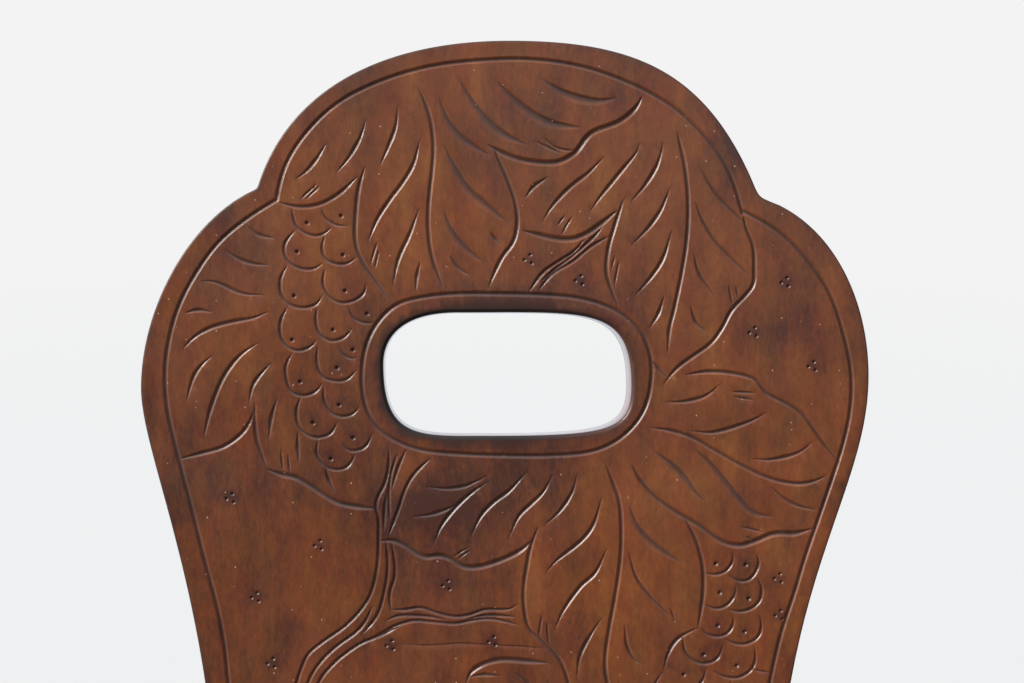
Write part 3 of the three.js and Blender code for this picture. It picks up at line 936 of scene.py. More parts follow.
FRONT_GRID_MM = 4.5
FRONT_MARGIN_MM = 1.0
FRONT_WAVES = 0.0
BACK_GRID_MM = 9
BACK_MARGIN_MM = 4.0
BACK_WAVES = 5.0
GROOVE_CLEARANCE_MM = 1.4
WAVE_HALF_DEPTH_MM = 0.09
WAVE_WIDTH_MM = 34
WAVE_LENGTH_MM = 3 * WAVE_WIDTH_MM
FADE_MM = 6
EVEN_TRIANGLE_HEIGHT = math.sqrt(0.75)
INSIDE_TRIANGLES = 1
TRIANGULATION_TOLERANCE_MM = 1e-5


def face_grid(spacing):
    """Staggered points over the board's whole width and height."""
    rows = []
    count = int(2 * BOARD_HALF_WIDTH_MM / spacing) + 1
    row_gap = spacing * EVEN_TRIANGLE_HEIGHT
    for k, s in enumerate(np.arange(0, BOARD_HEIGHT_MM, row_gap)):
        u = -BOARD_HALF_WIDTH_MM + spacing * (np.arange(count) + 0.5 * (k % 2))
        rows.append(np.stack([u, np.full(count, s)], axis=1))
    return np.vstack(rows)


def waves(points, rim, hole, number):
    """The heights of a planed face's waves at its points. The number chooses the waves."""
    distance = np.minimum(nearest_distance(points, rim), nearest_distance(points, hole))
    height = [noise.noise(Vector((u / WAVE_WIDTH_MM, s / WAVE_LENGTH_MM, number))) - 1 for u, s in points]
    return np.clip(distance / FADE_MM, 0, 1) * (WAVE_HALF_DEPTH_MM * np.array(height))


def within_face(points, rim, hole, foot, margin):
    """The points that are clear of the rim, the hole and the foot by roughly the margin."""
    clear = inside(points, shrunken(rim, margin)) & ~inside(points, shrunken(hole, -margin))
    return points[clear & (points[:, 1] > foot + margin)]


def triangulate(points, rim, hole):
    """Triangles over the face inside the rim and outside the hole."""
    everything = np.vstack([rim, hole, points])
    count = len(rim)
    edges = [(i, (i + 1) % count) for i in range(count)]
    edges += [(count + i, count + (i + 1) % len(hole)) for i in range(len(hole))]
    vertices, _, triangles, *_ = delaunay_2d_cdt(
        [Vector(p) for p in everything], edges, [], INSIDE_TRIANGLES, TRIANGULATION_TOLERANCE_MM
    )
    vertices = np.array([v[:] for v in vertices])
    triangles = np.array(triangles)
    middles = vertices[triangles].mean(axis=1)
    return vertices, triangles[~inside(middles, hole)]


def carving_points(grooves, pits):
    """The dots' rings and then the grooves' rows, from the bottoms outwards, none too close."""
    rings = [np.vstack(ring) for ring in zip(*[pit_rings(pit) for pit in pits])]
    rows = [np.vstack(row) for row in zip(*[groove_rows(groove) for groove in grooves])]
    kept = {}
    return np.vstack([thinned(line, APART_MM, kept) for line in rings + rows])


def grid_beside(grooves):
    """The front face's grid, without the points in a groove or close to one."""
    grid = face_grid(FRONT_GRID_MM)
    busy = np.zeros(len(grid), bool)
    for groove in grooves:
        clear = GROOVE_CLEARANCE_MM + reach(groove)
        where = np.flatnonzero(boxed(grid, groove.path, clear) & ~busy)
        distance = np.linalg.norm(grid[where][:, None, :] - groove.path[None], axis=2).min(axis=1)
        busy[where[distance < clear]] = True
    return grid[~busy]


def carved_front(rim, hole):
    """The front face: (u, s, n) points, how deep a share each is cut, and its triangles."""
    grooves, pits = all_grooves(), all_pits()
    points = np.vstack([carving_points(grooves, pits), grid_beside(grooves)])
    points = within_face(points, rim, hole, foot_level(FRONT_MM), FRONT_MARGIN_MM)
    vertices, triangles = triangulate(points, rim, hole)
    depth, share = cut_depths(vertices, grooves, pits)
    heights = FRONT_MM - depth + waves(vertices, rim, hole, FRONT_WAVES)
    return np.column_stack([vertices, heights]), share, triangles


def plain_back(rim, hole):
    """The back face: (u, s, n) points and its triangles."""
    points = within_face(face_grid(BACK_GRID_MM), rim, hole, foot_level(-FRONT_MM), BACK_MARGIN_MM)
    vertices, triangles = triangulate(points, rim, hole)
    heights = -FRONT_MM - waves(vertices, rim, hole, BACK_WAVES)
    return np.column_stack([vertices, heights]), triangles[:, ::-1]


# The board's sides, and its whole mesh

EDGE_STEPS = 5
EDGE_TOLERANCE_MM = 0.05

# Above 1, so that what over_edges gives stays at 1 over the middle of an edge

EDGE_PLATEAU = 1.5


def over_edges(ring_size):
    """For the rings of rounded_sides: 1 on the front's rounded edge, 0 at its borders and on the
    rest, and the same for the back's."""
    rise = np.clip(EDGE_PLATEAU * np.sin(math.pi * np.linspace(0, 1, EDGE_STEPS + 1)), 0, 1)
    flat = np.zeros(EDGE_STEPS + 1)
    front = np.repeat(np.concatenate([rise, flat]), ring_size)
    back = np.repeat(np.concatenate([flat, rise]), ring_size)
    return front, back


def rounded_sides(points, normals, edge_round, closed):
    """The band from the front face's rim, over both rounded edges, to the back face's rim. One
    that isn't closed ends at the board's level foot."""
    quarter = np.linspace(0, math.pi / 2, EDGE_STEPS + 1)
    insets = edge_round * (1 - np.sin(quarter))
    drops = edge_round * (1 - np.cos(quarter))
    profile = [(inset, FRONT_MM - drop) for inset, drop in zip(insets, drops)]
    profile += [(inset, -n) for inset, n in reversed(profile)]
    rings = []
    for inset, n in profile:
        ring = points - normals * inset
        if not closed:
            ring[[0, -1], 1] = foot_level(n)
        rings.append(np.column_stack([ring, np.full(len(ring), n)]))
    return rings


def band_faces(ring_count, ring_size, first):
    """Quads between neighbouring rings of points, the first of which has the given number."""
    faces = []
    for ring in range(ring_count - 1):
        for i in range(ring_size):
            j = (i + 1) % ring_size
            low, high = first + ring * ring_size, first + (ring + 1) * ring_size
            faces.append((low + i, high + i, high + j, low + j))
    return faces


def board_mesh():
    """The carved board without its tenons, with what its finish reads at each point."""
    outline, out = board_outline()
    hole, hole_out = hand_hole_outline()
    side_rings = rounded_sides(outline, out, EDGE_ROUND_MM, closed=False)
    hole_rings = rounded_sides(hole, hole_out, HOLE_ROUND_MM, closed=True)
    front, share, front_faces = carved_front(side_rings[0][:, :2], hole_rings[0][:, :2])
    back, back_faces = plain_back(side_rings[-1][:, :2], hole_rings[-1][:, :2])

    places = np.vstack([front, back, *side_rings, *hole_rings])
    back_start = len(front)
    side_start = back_start + len(back)
    hole_start = side_start + len(side_rings) * len(outline)
    faces = [*map(tuple, front_faces), *map(tuple, back_faces + back_start)]
    faces += band_faces(len(side_rings), len(outline), side_start)
    faces += band_faces(len(hole_rings), len(hole), hole_start)
    mesh = bpy.data.meshes.new("carved_board")
    mesh.from_pydata(board_to_chair(*places.T), [], faces)

    # The hole's wall starts where the rounding of its front edge ends
    hole_wall = slice(hole_start + EDGE_STEPS * len(hole), None)
    sides = slice(side_start, hole_start)
    front_edge, back_edge = over_edges(len(outline))
    # Hand dirt, and painted shade away from the lit right end, on the hole's front edge; the outer front edge
    # darker and duller
    grime_and_shade = hole_grime_and_shade(places, hole) + only_at(sides, OUTER_EDGE_DARKENING * front_edge, places)
    add_attribute(mesh, "carved", only_at(slice(back_start), share, places))
    add_attribute(mesh, "worn", only_at(sides, BACK_EDGE_WEAR * back_edge, places))
    add_attribute(mesh, "tone", stain_and_painted_light_tone(places, outline, hole))
    add_attribute(mesh, "grime_and_shade", grime_and_shade)
    add_attribute(mesh, "handled", only_at(hole_wall, 1, places))
    return mesh


def only_at(part, values, places):
    """The values at a part of the places, and 0 at the others."""
    everywhere = np.zeros(len(places))
    everywhere[part] = values
    return everywhere


def stain_and_painted_light_spots():
    """The middle, reach and strength of each soft spot in the stain, on the board. Two broad ones are painted
    light.
    """
    spots = []
    for middle, size, strength in PATCHES:
        spots.append((photo_to_board(middle), np.array(size) * MM_PER_PIXEL, strength))
    haloes = [(dot, GRAPE_HALO) for dot, _ in GRAPES] + [(star, STAR_HALO) for star in STARS]
    for pixel, halo in haloes:
        u, s = photo_to_board(pixel)
        spots.append(((u, s + halo.lift_mm), halo.reach_mm, halo.strength))
    return spots


def stain_and_painted_light_tone(places, outline, hole):
    """How much lighter or darker than the rest the board is at each place: stain, with painted light from two
    broad spots and painted shade at the outer edge.
    """
    tone = np.zeros(len(places))
    for middle, size, strength in stain_and_painted_light_spots():
        offset = (places[:, :2] - middle) / size
        tone += strength * np.exp(-(offset**2).sum(axis=1))
    tone += HOLE_EDGE_TONE * np.exp(-nearest_distance(places, hole) / HOLE_EDGE_REACH_MM)
    tone *= places[:, 2] > 0
    # Painted shade along the outer edge, over the board's sides and near its rims
    return tone + OUTER_EDGE_PAINTED_SHADE * np.exp(-nearest_distance(places, outline) / OUTER_EDGE_REACH_MM)


def hole_grime_and_shade(places, hole):
    """1 on the hole's front edge, darkened by hands and by painted shade, less so at its lit right end, and 0
    away from it and inside.
    """
    near, far = HOLE_GRIME_AND_SHADE_MM
    amount = np.clip((far - nearest_distance(places, hole)) / (far - near), 0, 1) ** 2
    aside = (places[:, 0] - HAND_HOLE_CENTRE_MM[0]) / (HAND_HOLE_WIDTH_MM / 2)
    # Less darkening towards the right end, where the light falls
    lit_end = LIT_END_SHARE * np.clip(aside - LIT_END_START, 0, 1)
    in_front = places[:, 2] > FRONT_MM - HOLE_ROUND_MM + EDGE_TOLERANCE_MM
    return amount * (1 - lit_end) * in_front


# What all meshes need

JOIN_DISTANCE = 2e-6
NO_LENGTH = 1e-7
SHARP_ANGLE = math.radians(30)
END_GRAIN_START = 0.45
END_GRAIN_FULL = 0.9


def link(thing):
    bpy.context.scene.collection.objects.link(thing)


def add_attribute(mesh, name, values):
    """A value, or a vector, for each of the mesh's vertices."""
    kind = "FLOAT_VECTOR" if np.ndim(values) == 2 else "FLOAT"
    field = "vector" if kind == "FLOAT_VECTOR" else "value"
    attribute = mesh.attributes.new(name, kind, "POINT")
    attribute.data.foreach_set(field, np.asarray(values, np.float32).ravel())


def vertex_vectors(mesh, what):
    """The vertices' places, as "co", or their normals, as "normal"."""
    vectors = np.zeros(3 * len(mesh.vertices), np.float32)
    mesh.vertices.foreach_get(what, vectors)
    return vectors.reshape(-1, 3).astype(float)


def add_grain(mesh, across, along):
    """grain_place holds each vertex's place with Z along the grain and X across the wide face,
    and end_grain is 1 where the surface is cut square across the grain."""
    through = Vector(along).cross(Vector(across)).normalized()
    axes = np.array([across, through, along])
    add_attribute(mesh, "grain_place", vertex_vectors(mesh, "co") @ axes.T)
    facing = np.abs(vertex_vectors(mesh, "normal") @ np.array(along))
    share = (facing - END_GRAIN_START) / (END_GRAIN_FULL - END_GRAIN_START)
    add_attribute(mesh, "end_grain", np.clip(share, 0, 1))


def tidy(mesh):
    """Joins doubled vertices, turns faces outwards and marks only true corners as sharp."""
    work = bmesh.new()
    work.from_mesh(mesh)
    bmesh.ops.remove_doubles(work, verts=work.verts, dist=JOIN_DISTANCE)
    bmesh.ops.dissolve_degenerate(work, edges=work.edges, dist=NO_LENGTH)
    bmesh.ops.recalc_face_normals(work, faces=work.faces)
    work.to_mesh(mesh)
    work.free()
    mesh.shade_smooth()
    mesh.set_sharp_from_angle(angle=SHARP_ANGLE)


def add_piece(name, mesh, grain, node, slot, finishes):
    """A finished piece of the chair in place of one of the frame's nodes."""
    tidy(mesh)
    add_grain(mesh, *grain)
    mesh.materials.clear()
    mesh.materials.append(finishes[slot])
    piece = bpy.data.objects.new(name, mesh)
    link(piece)
    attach(piece, "root")
    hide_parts(node)


# Softened copies of the frame's own solids, for the pieces whose shape it already has

SOLID_JOIN_DISTANCE = 1e-5
FLAT_ANGLE = math.radians(1)
EASED_EDGE_ANGLE = math.radians(28)
EASE_SEGMENTS = 3
ROUND_PROFILE = 0.5
QUAD_CORNERS = 4
LEVEL_TOLERANCE = 1e-6


def eased_copy(node, ease, cut_above=None):
    """The node's solid with its corners worn round. cut_above keeps only what is below a level."""
    work = bmesh.new()
    work.from_mesh(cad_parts[node].data)
    bmesh.ops.remove_doubles(work, verts=work.verts, dist=SOLID_JOIN_DISTANCE)
    if cut_above is not None:
        cut_off(work, cut_above)
    bmesh.ops.dissolve_limit(work, angle_limit=FLAT_ANGLE, verts=work.verts, edges=work.edges, delimit=set())
    corners = [e for e in work.edges if is_corner(e) and not lies_at(e, cut_above)]
    bevel = bmesh.ops.bevel(
        work,
        geom=corners,
        offset=ease,
        segments=EASE_SEGMENTS,
        profile=ROUND_PROFILE,
        affect="EDGES",
        clamp_overlap=True,
    )
    rounded = set(bevel["faces"])
    worn = [float(rounded.issuperset(v.link_faces)) for v in work.verts]
    bmesh.ops.triangulate(work, faces=[f for f in work.faces if len(f.verts) > QUAD_CORNERS])
    mesh = bpy.data.meshes.new(node + "_eased")
    work.to_mesh(mesh)
    work.free()
    add_attribute(mesh, "worn", worn)
    return mesh


def cut_off(work, level):
    """Takes away what is above a level, and closes the cut."""
    parts = [*work.verts, *work.edges, *work.faces]
    bmesh.ops.bisect_plane(work, geom=parts, plane_co=(0, 0, level), plane_no=(0, 0, 1), clear_outer=True)
    bmesh.ops.holes_fill(work, edges=[e for e in work.edges if e.is_boundary], sides=0)


def is_corner(edge):
    return edge.is_manifold and edge.calc_face_angle(0) > EASED_EDGE_ANGLE


def lies_at(edge, level):
    """Whether an edge runs along the level at which the solid was cut."""
    return level is not None and all(v.co.z > level - LEVEL_TOLERANCE for v in edge.verts)


# Materials

Noise = namedtuple("Noise", "scale detail roughness", defaults=[0.5])
Spread = namedtuple("Spread", "low high to_low to_high", defaults=[0.0, 1.0])


class NodeSheet:
    """The nodes of a new material, or of a given tree, added one at a time with their inputs."""

    def __init__(self, name="", tree=None):
        if tree is None:
            self.material = bpy.data.materials.new(name)
            self.material.use_nodes = True
            tree = self.material.node_tree
        self.tree = tree
        self.tree.nodes.clear()

    def add(self, kind, inputs=None, **settings):
        node = self.tree.nodes.new(kind)
        for key, value in settings.items():
            setattr(node, key, value)
        for key, value in (inputs or {}).items():
            if isinstance(value, bpy.types.NodeSocket):
                self.tree.links.new(value, node.inputs[key])
            else:
                node.inputs[key].default_value = value
        return node

    def attribute(self, name, output="Fac"):
        return self.add("ShaderNodeAttribute", attribute_name=name).outputs[output]

    def maths(self, operation, *values, clamp=False):
        node = self.add("ShaderNodeMath", dict(enumerate(values)), operation=operation, use_clamp=clamp)
        return node.outputs[0]

    def vector_maths(self, operation, *values, output="Vector"):
        node = self.add("ShaderNodeVectorMath", dict(enumerate(values)), operation=operation)
        return node.outputs[output]

    def total(self, start, *parts):
        """The start and the values, each times its weight, added up."""
        for value, weight in parts:
            start = self.maths("MULTIPLY_ADD", value, weight, start)
        return start

    def noise(self, place, kind):
        stretched = self.add("ShaderNodeMapping", {"Vector": place, "Scale": kind.scale})
        inputs = {
            "Vector": stretched.outputs["Vector"],
            "Scale": 1.0,
            "Detail": kind.detail,
            "Roughness": kind.roughness,
        }
        return self.add("ShaderNodeTexNoise", inputs).outputs["Fac"]

    def spread(self, value, low, high, to_low=0.0, to_high=1.0):
        """Maps low..high to to_low..to_high with soft ends."""
        inputs = {"Value": value, "From Min": low, "From Max": high, "To Min": to_low, "To Max": to_high}
        node = self.add("ShaderNodeMapRange", inputs, interpolation_type="SMOOTHSTEP")
        return node.outputs["Result"]

    def ramp(self, value, stops):
        """Maps the value to the colours of the stops. A stop that is added starts half way."""
        node = self.add("ShaderNodeValToRGB", {"Fac": value})
        elements = node.color_ramp.elements
        while len(elements) < len(stops):
            elements.new(0.5)
        for element, (position, colour) in zip(elements, stops):
            element.position = position
            element.color = (*colour, 1)
        return node.outputs["Color"]

    def mix(self, share, a, b, blend="MIX"):
        node = self.add("ShaderNodeMix", {"Factor": share}, data_type="RGBA", blend_type=blend)
        colour_inputs = [s for s in node.inputs if s.type == "RGBA"]
        for socket, value in zip(colour_inputs, (a, b)):
            if isinstance(value, bpy.types.NodeSocket):
                self.tree.links.new(value, socket)
            else:
                socket.default_value = (*value, 1)
        return next(s for s in node.outputs if s.type == "RGBA")


# Each slot's wood: its stain, where in the noise it lies, how rough its varnish is, and how much
# its growth rings show

CARVED_SLOT = "board_wood"
WoodLook = namedtuple("WoodLook", "dark middle light shift roughness figure")

LOOKS = {
    CARVED_SLOT: WoodLook(
        (0.064, 0.0235, 0.0168), (0.165, 0.051, 0.0193), (0.265, 0.090, 0.028), (0, 0, 0), 0.36, 0.2
    ),
    "seat_wood": WoodLook(
        (0.055, 0.022, 0.015), (0.170, 0.060, 0.026), (0.270, 0.098, 0.038), (1.3, 0.4, 0.7), 0.40, 0.5
    ),
    "leg_wood": WoodLook(
        (0.045, 0.018, 0.013), (0.150, 0.051, 0.023), (0.235, 0.082, 0.033), (2.1, 1.4, 0.2), 0.42, 0.4
    ),
    "batten_wood": WoodLook(
        (0.040, 0.017, 0.012), (0.128, 0.046, 0.022), (0.205, 0.076, 0.033), (3.3, 0.8, 1.9), 0.50, 0.5
    ),
    "wedge_wood": WoodLook(
        (0.085, 0.038, 0.021), (0.235, 0.105, 0.048), (0.350, 0.165, 0.080), (4.6, 2.2, 1.1), 0.50, 0.4
    ),
}
# The dark on the hole's front edge and the outer front edge: hand dirt, and painted shade on the hole's edge
# away from its lit right end
GRIME_AND_SHADE = (0.014, 0.009, 0.008)
# The dark in the cuts is stain that gathers there, and painted shade in their hollows
DEPOSIT_AND_SHADE = (0.038, 0.029, 0.029)
SPECK = (0.55, 0.36, 0.25)
RUBBED = (0.30, 0.125, 0.058)

# The noise in the wood, with scales across and along the grain. Together with the weights below it
# gives the stain's tone, and the stops are the tones of the look's dark, middle and light.

BLOTCHES = Noise((24, 24, 10), 2)
CLOUDS = Noise((80, 80, 42), 5, 0.6)
RINGS = Noise((140, 140, 3), 3)
FLECKS = Noise((460, 460, 190), 2, 0.6)
FIBRES = Noise((1700, 1700, 420), 1)
HUES = Noise((70, 70, 34), 3)
GLOSS = Noise((24, 24, 14), 3)
STAIN_STOPS = (0.2, 0.5, 0.8)
TINTS = [(0.34, (1.0, 0.91, 0.98)), (0.5, (1, 1, 1)), (0.66, (0.96, 1.06, 0.98))]
TONE_OFFSET = -0.315
TONE_OFFSET_BY_FIGURE = -0.25
BLOTCH_WEIGHT = 0.4
CLOUD_WEIGHT = 0.66
CLOUD_WEIGHT_BY_FIGURE = -0.5
FLECK_WEIGHT = 0.28
FIBRE_WEIGHT = 0.2
STAIN_AND_PAINTED_LIGHT_WEIGHT = 0.17
END_GRAIN_WEIGHT = -0.12

# How dirt, wear and handling show, with painted shade in the cuts and on the hole's edge, and the varnish

CUT_DEPOSIT_AND_SHADE = Spread(0.25, 0.9, 0, 0.66)
WORN_PLACES = Spread(0.42, 0.62, 0.1, 0.55)
SPECKS_PER_METRE = 200
SPECK_SHAPE = Spread(0.05, 0.09, 1, 0)
SPECK_CHOICE = Spread(0.55, 1.0)
UNEVEN_GLOSS = Spread(0.3, 0.7, -0.06, 0.08)
GRIME_AND_SHADE_ROUGHNESS = 0.2
RUBBED_ROUGHNESS = 0.3
HANDLED_ROUGHNESS = -0.12
HANDLED_COAT = 0.35
COAT_WEIGHT = 0.28
VARNISH = {"Specular IOR Level": 0.35, "Coat Roughness": 0.18}
FIBRE_RELIEF = {"Strength": 0.3, "Distance": 0.00004}


def stained_wood(slot, look):
    """Close-grained wood, stained brown and varnished. Only the board has the attributes carved,
    tone, grime and handled. On the other pieces they count as 0."""
    sheet = NodeSheet(slot)
    place = sheet.vector_maths("ADD", sheet.attribute("grain_place", "Vector"), look.shift)
    clouds = sheet.noise(place, CLOUDS)
    fibres = sheet.noise(place, FIBRES)
    grime_and_shade = sheet.attribute("grime_and_shade")
    handled = sheet.attribute("handled")
    rubbed = sheet.maths("MULTIPLY", sheet.attribute("worn"), sheet.spread(clouds, *WORN_PLACES))

    colour = stain_colour(sheet, place, look, clouds, fibres)
    colour = sheet.mix(speck_mask(sheet, place), colour, SPECK)
    # Darker in the cuts: stain gathered there, and painted shade in their hollows
    colour = sheet.mix(sheet.spread(sheet.attribute("carved"), *CUT_DEPOSIT_AND_SHADE), colour, DEPOSIT_AND_SHADE)
    colour = sheet.mix(rubbed, colour, RUBBED)
    # Darker on the hole's front edge and the outer front edge: hand dirt, and painted shade on the hole's
    # edge away from its lit right end
    colour = sheet.mix(grime_and_shade, colour, GRIME_AND_SHADE)

    roughness = sheet.total(
        look.roughness,
        (sheet.spread(sheet.noise(place, GLOSS), *UNEVEN_GLOSS), 1),
        (grime_and_shade, GRIME_AND_SHADE_ROUGHNESS),
        (rubbed, RUBBED_ROUGHNESS),
        (handled, HANDLED_ROUGHNESS),
    )
    coat_weight = COAT_WEIGHT
    if slot == CARVED_SLOT:
        coat_weight = sheet.total(COAT_WEIGHT, (grime_and_shade, -COAT_WEIGHT), (handled, HANDLED_COAT))
    relief = sheet.add("ShaderNodeBump", {"Height": fibres, **FIBRE_RELIEF})
    inputs = {
        "Base Color": colour,
        "Roughness": roughness,
        "Normal": relief.outputs["Normal"],
        "Coat Weight": coat_weight,
        **VARNISH,
    }
    shader = sheet.add("ShaderNodeBsdfPrincipled", inputs)
    sheet.add("ShaderNodeOutputMaterial", {"Surface": shader.outputs["BSDF"]})
    return sheet.material


def stain_colour(sheet, place, look, clouds, fibres):
    """The stain, from its dark to its light, with a slight change of hue from place to place. The board's
    tone brings painted light and shade into it.
    """
    tone = sheet.total(
        TONE_OFFSET + TONE_OFFSET_BY_FIGURE * look.figure,
        (sheet.noise(place, BLOTCHES), BLOTCH_WEIGHT),
        (clouds, CLOUD_WEIGHT + CLOUD_WEIGHT_BY_FIGURE * look.figure),
        (sheet.noise(place, RINGS), look.figure),
        (sheet.noise(place, FLECKS), FLECK_WEIGHT),
        (fibres, FIBRE_WEIGHT),
        (sheet.attribute("tone"), STAIN_AND_PAINTED_LIGHT_WEIGHT),
        (sheet.attribute("end_grain"), END_GRAIN_WEIGHT),
    )
    colour = sheet.ramp(tone, list(zip(STAIN_STOPS, (look.dark, look.middle, look.light))))
    return sheet.mix(1.0, colour, sheet.ramp(sheet.noise(place, HUES), TINTS), "MULTIPLY")


def speck_mask(sheet, place):
    """Sparse pinhead specks of dust and chipped varnish."""
    cells = sheet.add("ShaderNodeTexVoronoi", {"Vector": place, "Scale": SPECKS_PER_METRE})
    near = sheet.spread(cells.outputs["Distance"], *SPECK_SHAPE)
    picked = sheet.add("ShaderNodeSeparateColor", {"Color": cells.outputs["Color"]}).outputs["Red"]
    return sheet.maths("MULTIPLY", near, sheet.spread(picked, *SPECK_CHOICE), clamp=True)


# The studio. The key light is a broad sun, this far off the board's own axis and turned this way,
# as (u, s), from it.

KEY_FROM_AXIS = math.radians(67)
KEY_TURN = (-0.81, 0.58)
KEY_STRENGTH = 5.6
KEY_COLOUR = (1.0, 0.98, 0.93)
KEY_ANGLE = math.radians(34)
FLOOR_REACH = 30
FLOOR_SEGMENTS = 96
FLOOR_FADE = (2.0, 9.0)
FLOOR_COLOUR = (0.432, 0.432, 0.432, 1)
BACKDROP_COLOUR = (0.895, 0.895, 0.895, 1)
SKY_COLOUR = (0.76, 0.79, 0.85, 1)
SKY_DARK = 0.05

# Where the soft light comes from: a direction, the cosines at which it starts and is full, and
# its strength

Glow = namedtuple("Glow", "direction start full strength")
OVERHEAD = Glow((0.05, -0.05, 1), 0.45, 0.97, 1.9)
ABOVE_FRONT = Glow((0.25, -0.75, 0.58), 0.8, 0.97, 0.69)
FROM_LEFT = Glow((-1, -0.2, 0.15), 0.55, 0.95, 0.9)
BEHIND = Glow((0, 1, 0), 0.0, 0.45, 1.3)
FROM_FLOOR = Glow((0, 0, -1), 0.0, 0.7, 0.14)


def make_key_light():
    light = bpy.data.lights.new("key", "SUN")
    light.energy = KEY_STRENGTH
    light.color = KEY_COLOUR
    light.angle = KEY_ANGLE
    key = bpy.data.objects.new("key", light)
    sideways = (KEY_TURN[1] * along_s + KEY_TURN[0] * along_u).normalized()
    towards = along_n * math.cos(KEY_FROM_AXIS) + sideways * math.sin(KEY_FROM_AXIS)
    key.rotation_mode = "QUATERNION"
    key.rotation_quaternion = towards.to_track_quat("Z", "Y")
    link(key)


def make_sky():
    """Soft, slightly blue light from several sides, and a plain backdrop for the camera."""
    world = bpy.data.worlds.new("studio")
    bpy.context.scene.world = world
    world.use_nodes = True
    sheet = NodeSheet(tree=world.node_tree)
    place = sheet.add("ShaderNodeTexCoord").outputs["Generated"]
    brightness = SKY_DARK
    for glow in (OVERHEAD, ABOVE_FRONT, FROM_LEFT, BEHIND, FROM_FLOOR):
        direction = Vector(glow.direction).normalized()
        towards = sheet.vector_maths("DOT_PRODUCT", place, direction, output="Value")
        glowing = sheet.spread(towards, glow.start, glow.full, 0, glow.strength)
        brightness = sheet.maths("MAXIMUM", glowing, brightness)
    soft = sheet.add("ShaderNodeBackground", {"Color": SKY_COLOUR, "Strength": brightness})
    backdrop = sheet.add("ShaderNodeBackground", {"Color": BACKDROP_COLOUR})
    seen = sheet.add("ShaderNodeLightPath").outputs["Is Camera Ray"]
    choose = sheet.add("ShaderNodeMixShader", {0: seen, 1: soft.outputs[0], 2: backdrop.outputs[0]})
    sheet.add("ShaderNodeOutputWorld", {"Surface": choose.outputs[0]})


def floor_finish():
    """A pale floor that turns into the backdrop's own brightness far from the chair."""
    sheet = NodeSheet("pale_floor")
    near = sheet.add("ShaderNodeBsdfDiffuse", {"Color": FLOOR_COLOUR})
    far = sheet.add("ShaderNodeEmission", {"Color": BACKDROP_COLOUR, "Strength": 1.0})
    place = sheet.add("ShaderNodeTexCoord").outputs["Object"]
    distance = sheet.vector_maths("LENGTH", place, output="Value")
    fade = sheet.spread(distance, *FLOOR_FADE)
    both = sheet.add("ShaderNodeMixShader", {0: fade, 1: near.outputs[0], 2: far.outputs[0]})
    sheet.add("ShaderNodeOutputMaterial", {"Surface": both.outputs[0]})
    return sheet.material


def make_floor():
    """A wide floor. It throws no light on the chair, which FROM_FLOOR lights from below instead."""
    mesh = bpy.data.meshes.new("floor")
    work = bmesh.new()
    bmesh.ops.create_circle(work, cap_ends=True, radius=FLOOR_REACH, segments=FLOOR_SEGMENTS)
    work.to_mesh(mesh)
    work.free()
    mesh.materials.append(floor_finish())
    floor = bpy.data.objects.new("floor", mesh)
    floor.visible_glossy = False
    floor.visible_diffuse = False
    link(floor)


def make_camera():
    data = bpy.data.cameras.new("camera")
    data.sensor_width = SENSOR_MM
    data.lens = FOCAL_PIXELS / IMAGE_WIDTH * SENSOR_MM
    data.shift_x = (IMAGE_MIDDLE[0] - AXIS_PIXEL[0]) / IMAGE_WIDTH
    camera = bpy.data.objects.new("camera", data)
    turn = Matrix((along_u, along_s, along_n)).transposed()
    place = board_to_chair(CAMERA_U_MM, CAMERA_S_MM, FRONT_MM + CAMERA_TO_FACE_MM)
    camera.matrix_world = Matrix.Translation(place) @ turn.to_4x4()
    link(camera)
    bpy.context.scene.camera = camera


# The chair. Corners are worn round by these distances, a leg's ends are what lies within a short
# depth of its lowest and highest points, and the grain is given as the directions across the wide
# face and along the grain.

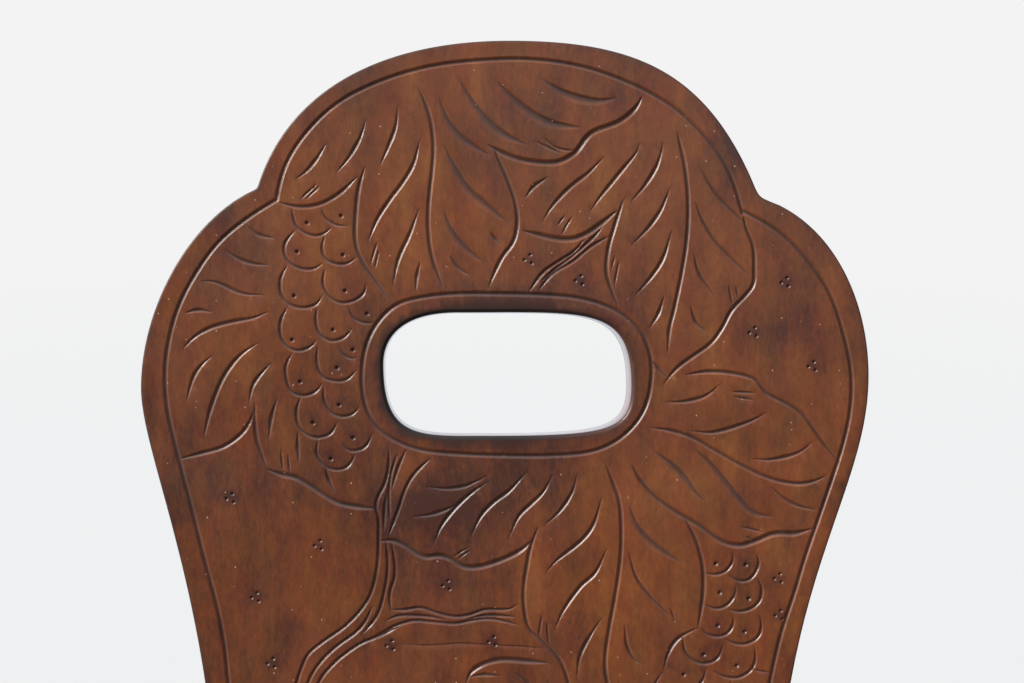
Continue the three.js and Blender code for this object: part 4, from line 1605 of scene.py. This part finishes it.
TENON_EASE = 0.0008
SEAT_EASE = 0.0008
BATTEN_EASE = 0.0008
KEY_EASE = 0.0006
LEG_EASE = 0.001
WEDGE_EASE = 0.0002
LEG_END_DEPTH = 0.001

TO_RIGHT = Vector((1, 0, 0))
TO_REAR = Vector((0, 1, 0))
GRAIN_UP_BOARD = (along_u, along_s)
GRAIN_TO_REAR = (TO_RIGHT, TO_REAR)
GRAIN_ACROSS = (TO_REAR, TO_RIGHT)


def make_board(finishes):
    """The carved board, and its tenons from the frame's own solid."""
    mesh = board_mesh()
    tenons = eased_copy("back_board", TENON_EASE, cut_above=seat_high.z + SHOULDER_GAP)
    work = bmesh.new()
    work.from_mesh(mesh)
    work.from_mesh(tenons)
    work.to_mesh(mesh)
    work.free()
    add_piece("carved_back_board", mesh, GRAIN_UP_BOARD, "back_board", CARVED_SLOT, finishes)


def leg_grain(node):
    """Along the leg, from the middle of its foot to the middle of its top."""
    places = vertex_vectors(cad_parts[node].data, "co")
    heights = places[:, 2]
    foot = places[heights < heights.min() + LEG_END_DEPTH].mean(axis=0)
    top = places[heights > heights.max() - LEG_END_DEPTH].mean(axis=0)
    along = Vector(top - foot).normalized()
    across = along.cross(TO_REAR).normalized()
    return across, along


def make_chair():
    finishes = {slot: stained_wood(slot, look) for slot, look in LOOKS.items()}

    def make_eased(node, ease, grain, slot):
        add_piece(node + "_finished", eased_copy(node, ease), grain, node, slot, finishes)

    make_board(finishes)
    make_eased("seat", SEAT_EASE, GRAIN_ACROSS, "seat_wood")
    for side in ("left", "right"):
        make_eased(f"batten_{side}", BATTEN_EASE, GRAIN_TO_REAR, "batten_wood")
        make_eased(f"back_key_{side}", KEY_EASE, GRAIN_TO_REAR, "wedge_wood")
        for end in ("front", "rear"):
            grain = leg_grain(f"leg_{end}_{side}")
            make_eased(f"leg_{end}_{side}", LEG_EASE, grain, "leg_wood")
            make_eased(f"leg_wedge_{end}_{side}", WEDGE_EASE, grain, "wedge_wood")


make_camera()
make_key_light()
make_sky()
make_floor()
make_chair()
bpy.context.scene.view_settings.view_transform = "Standard"
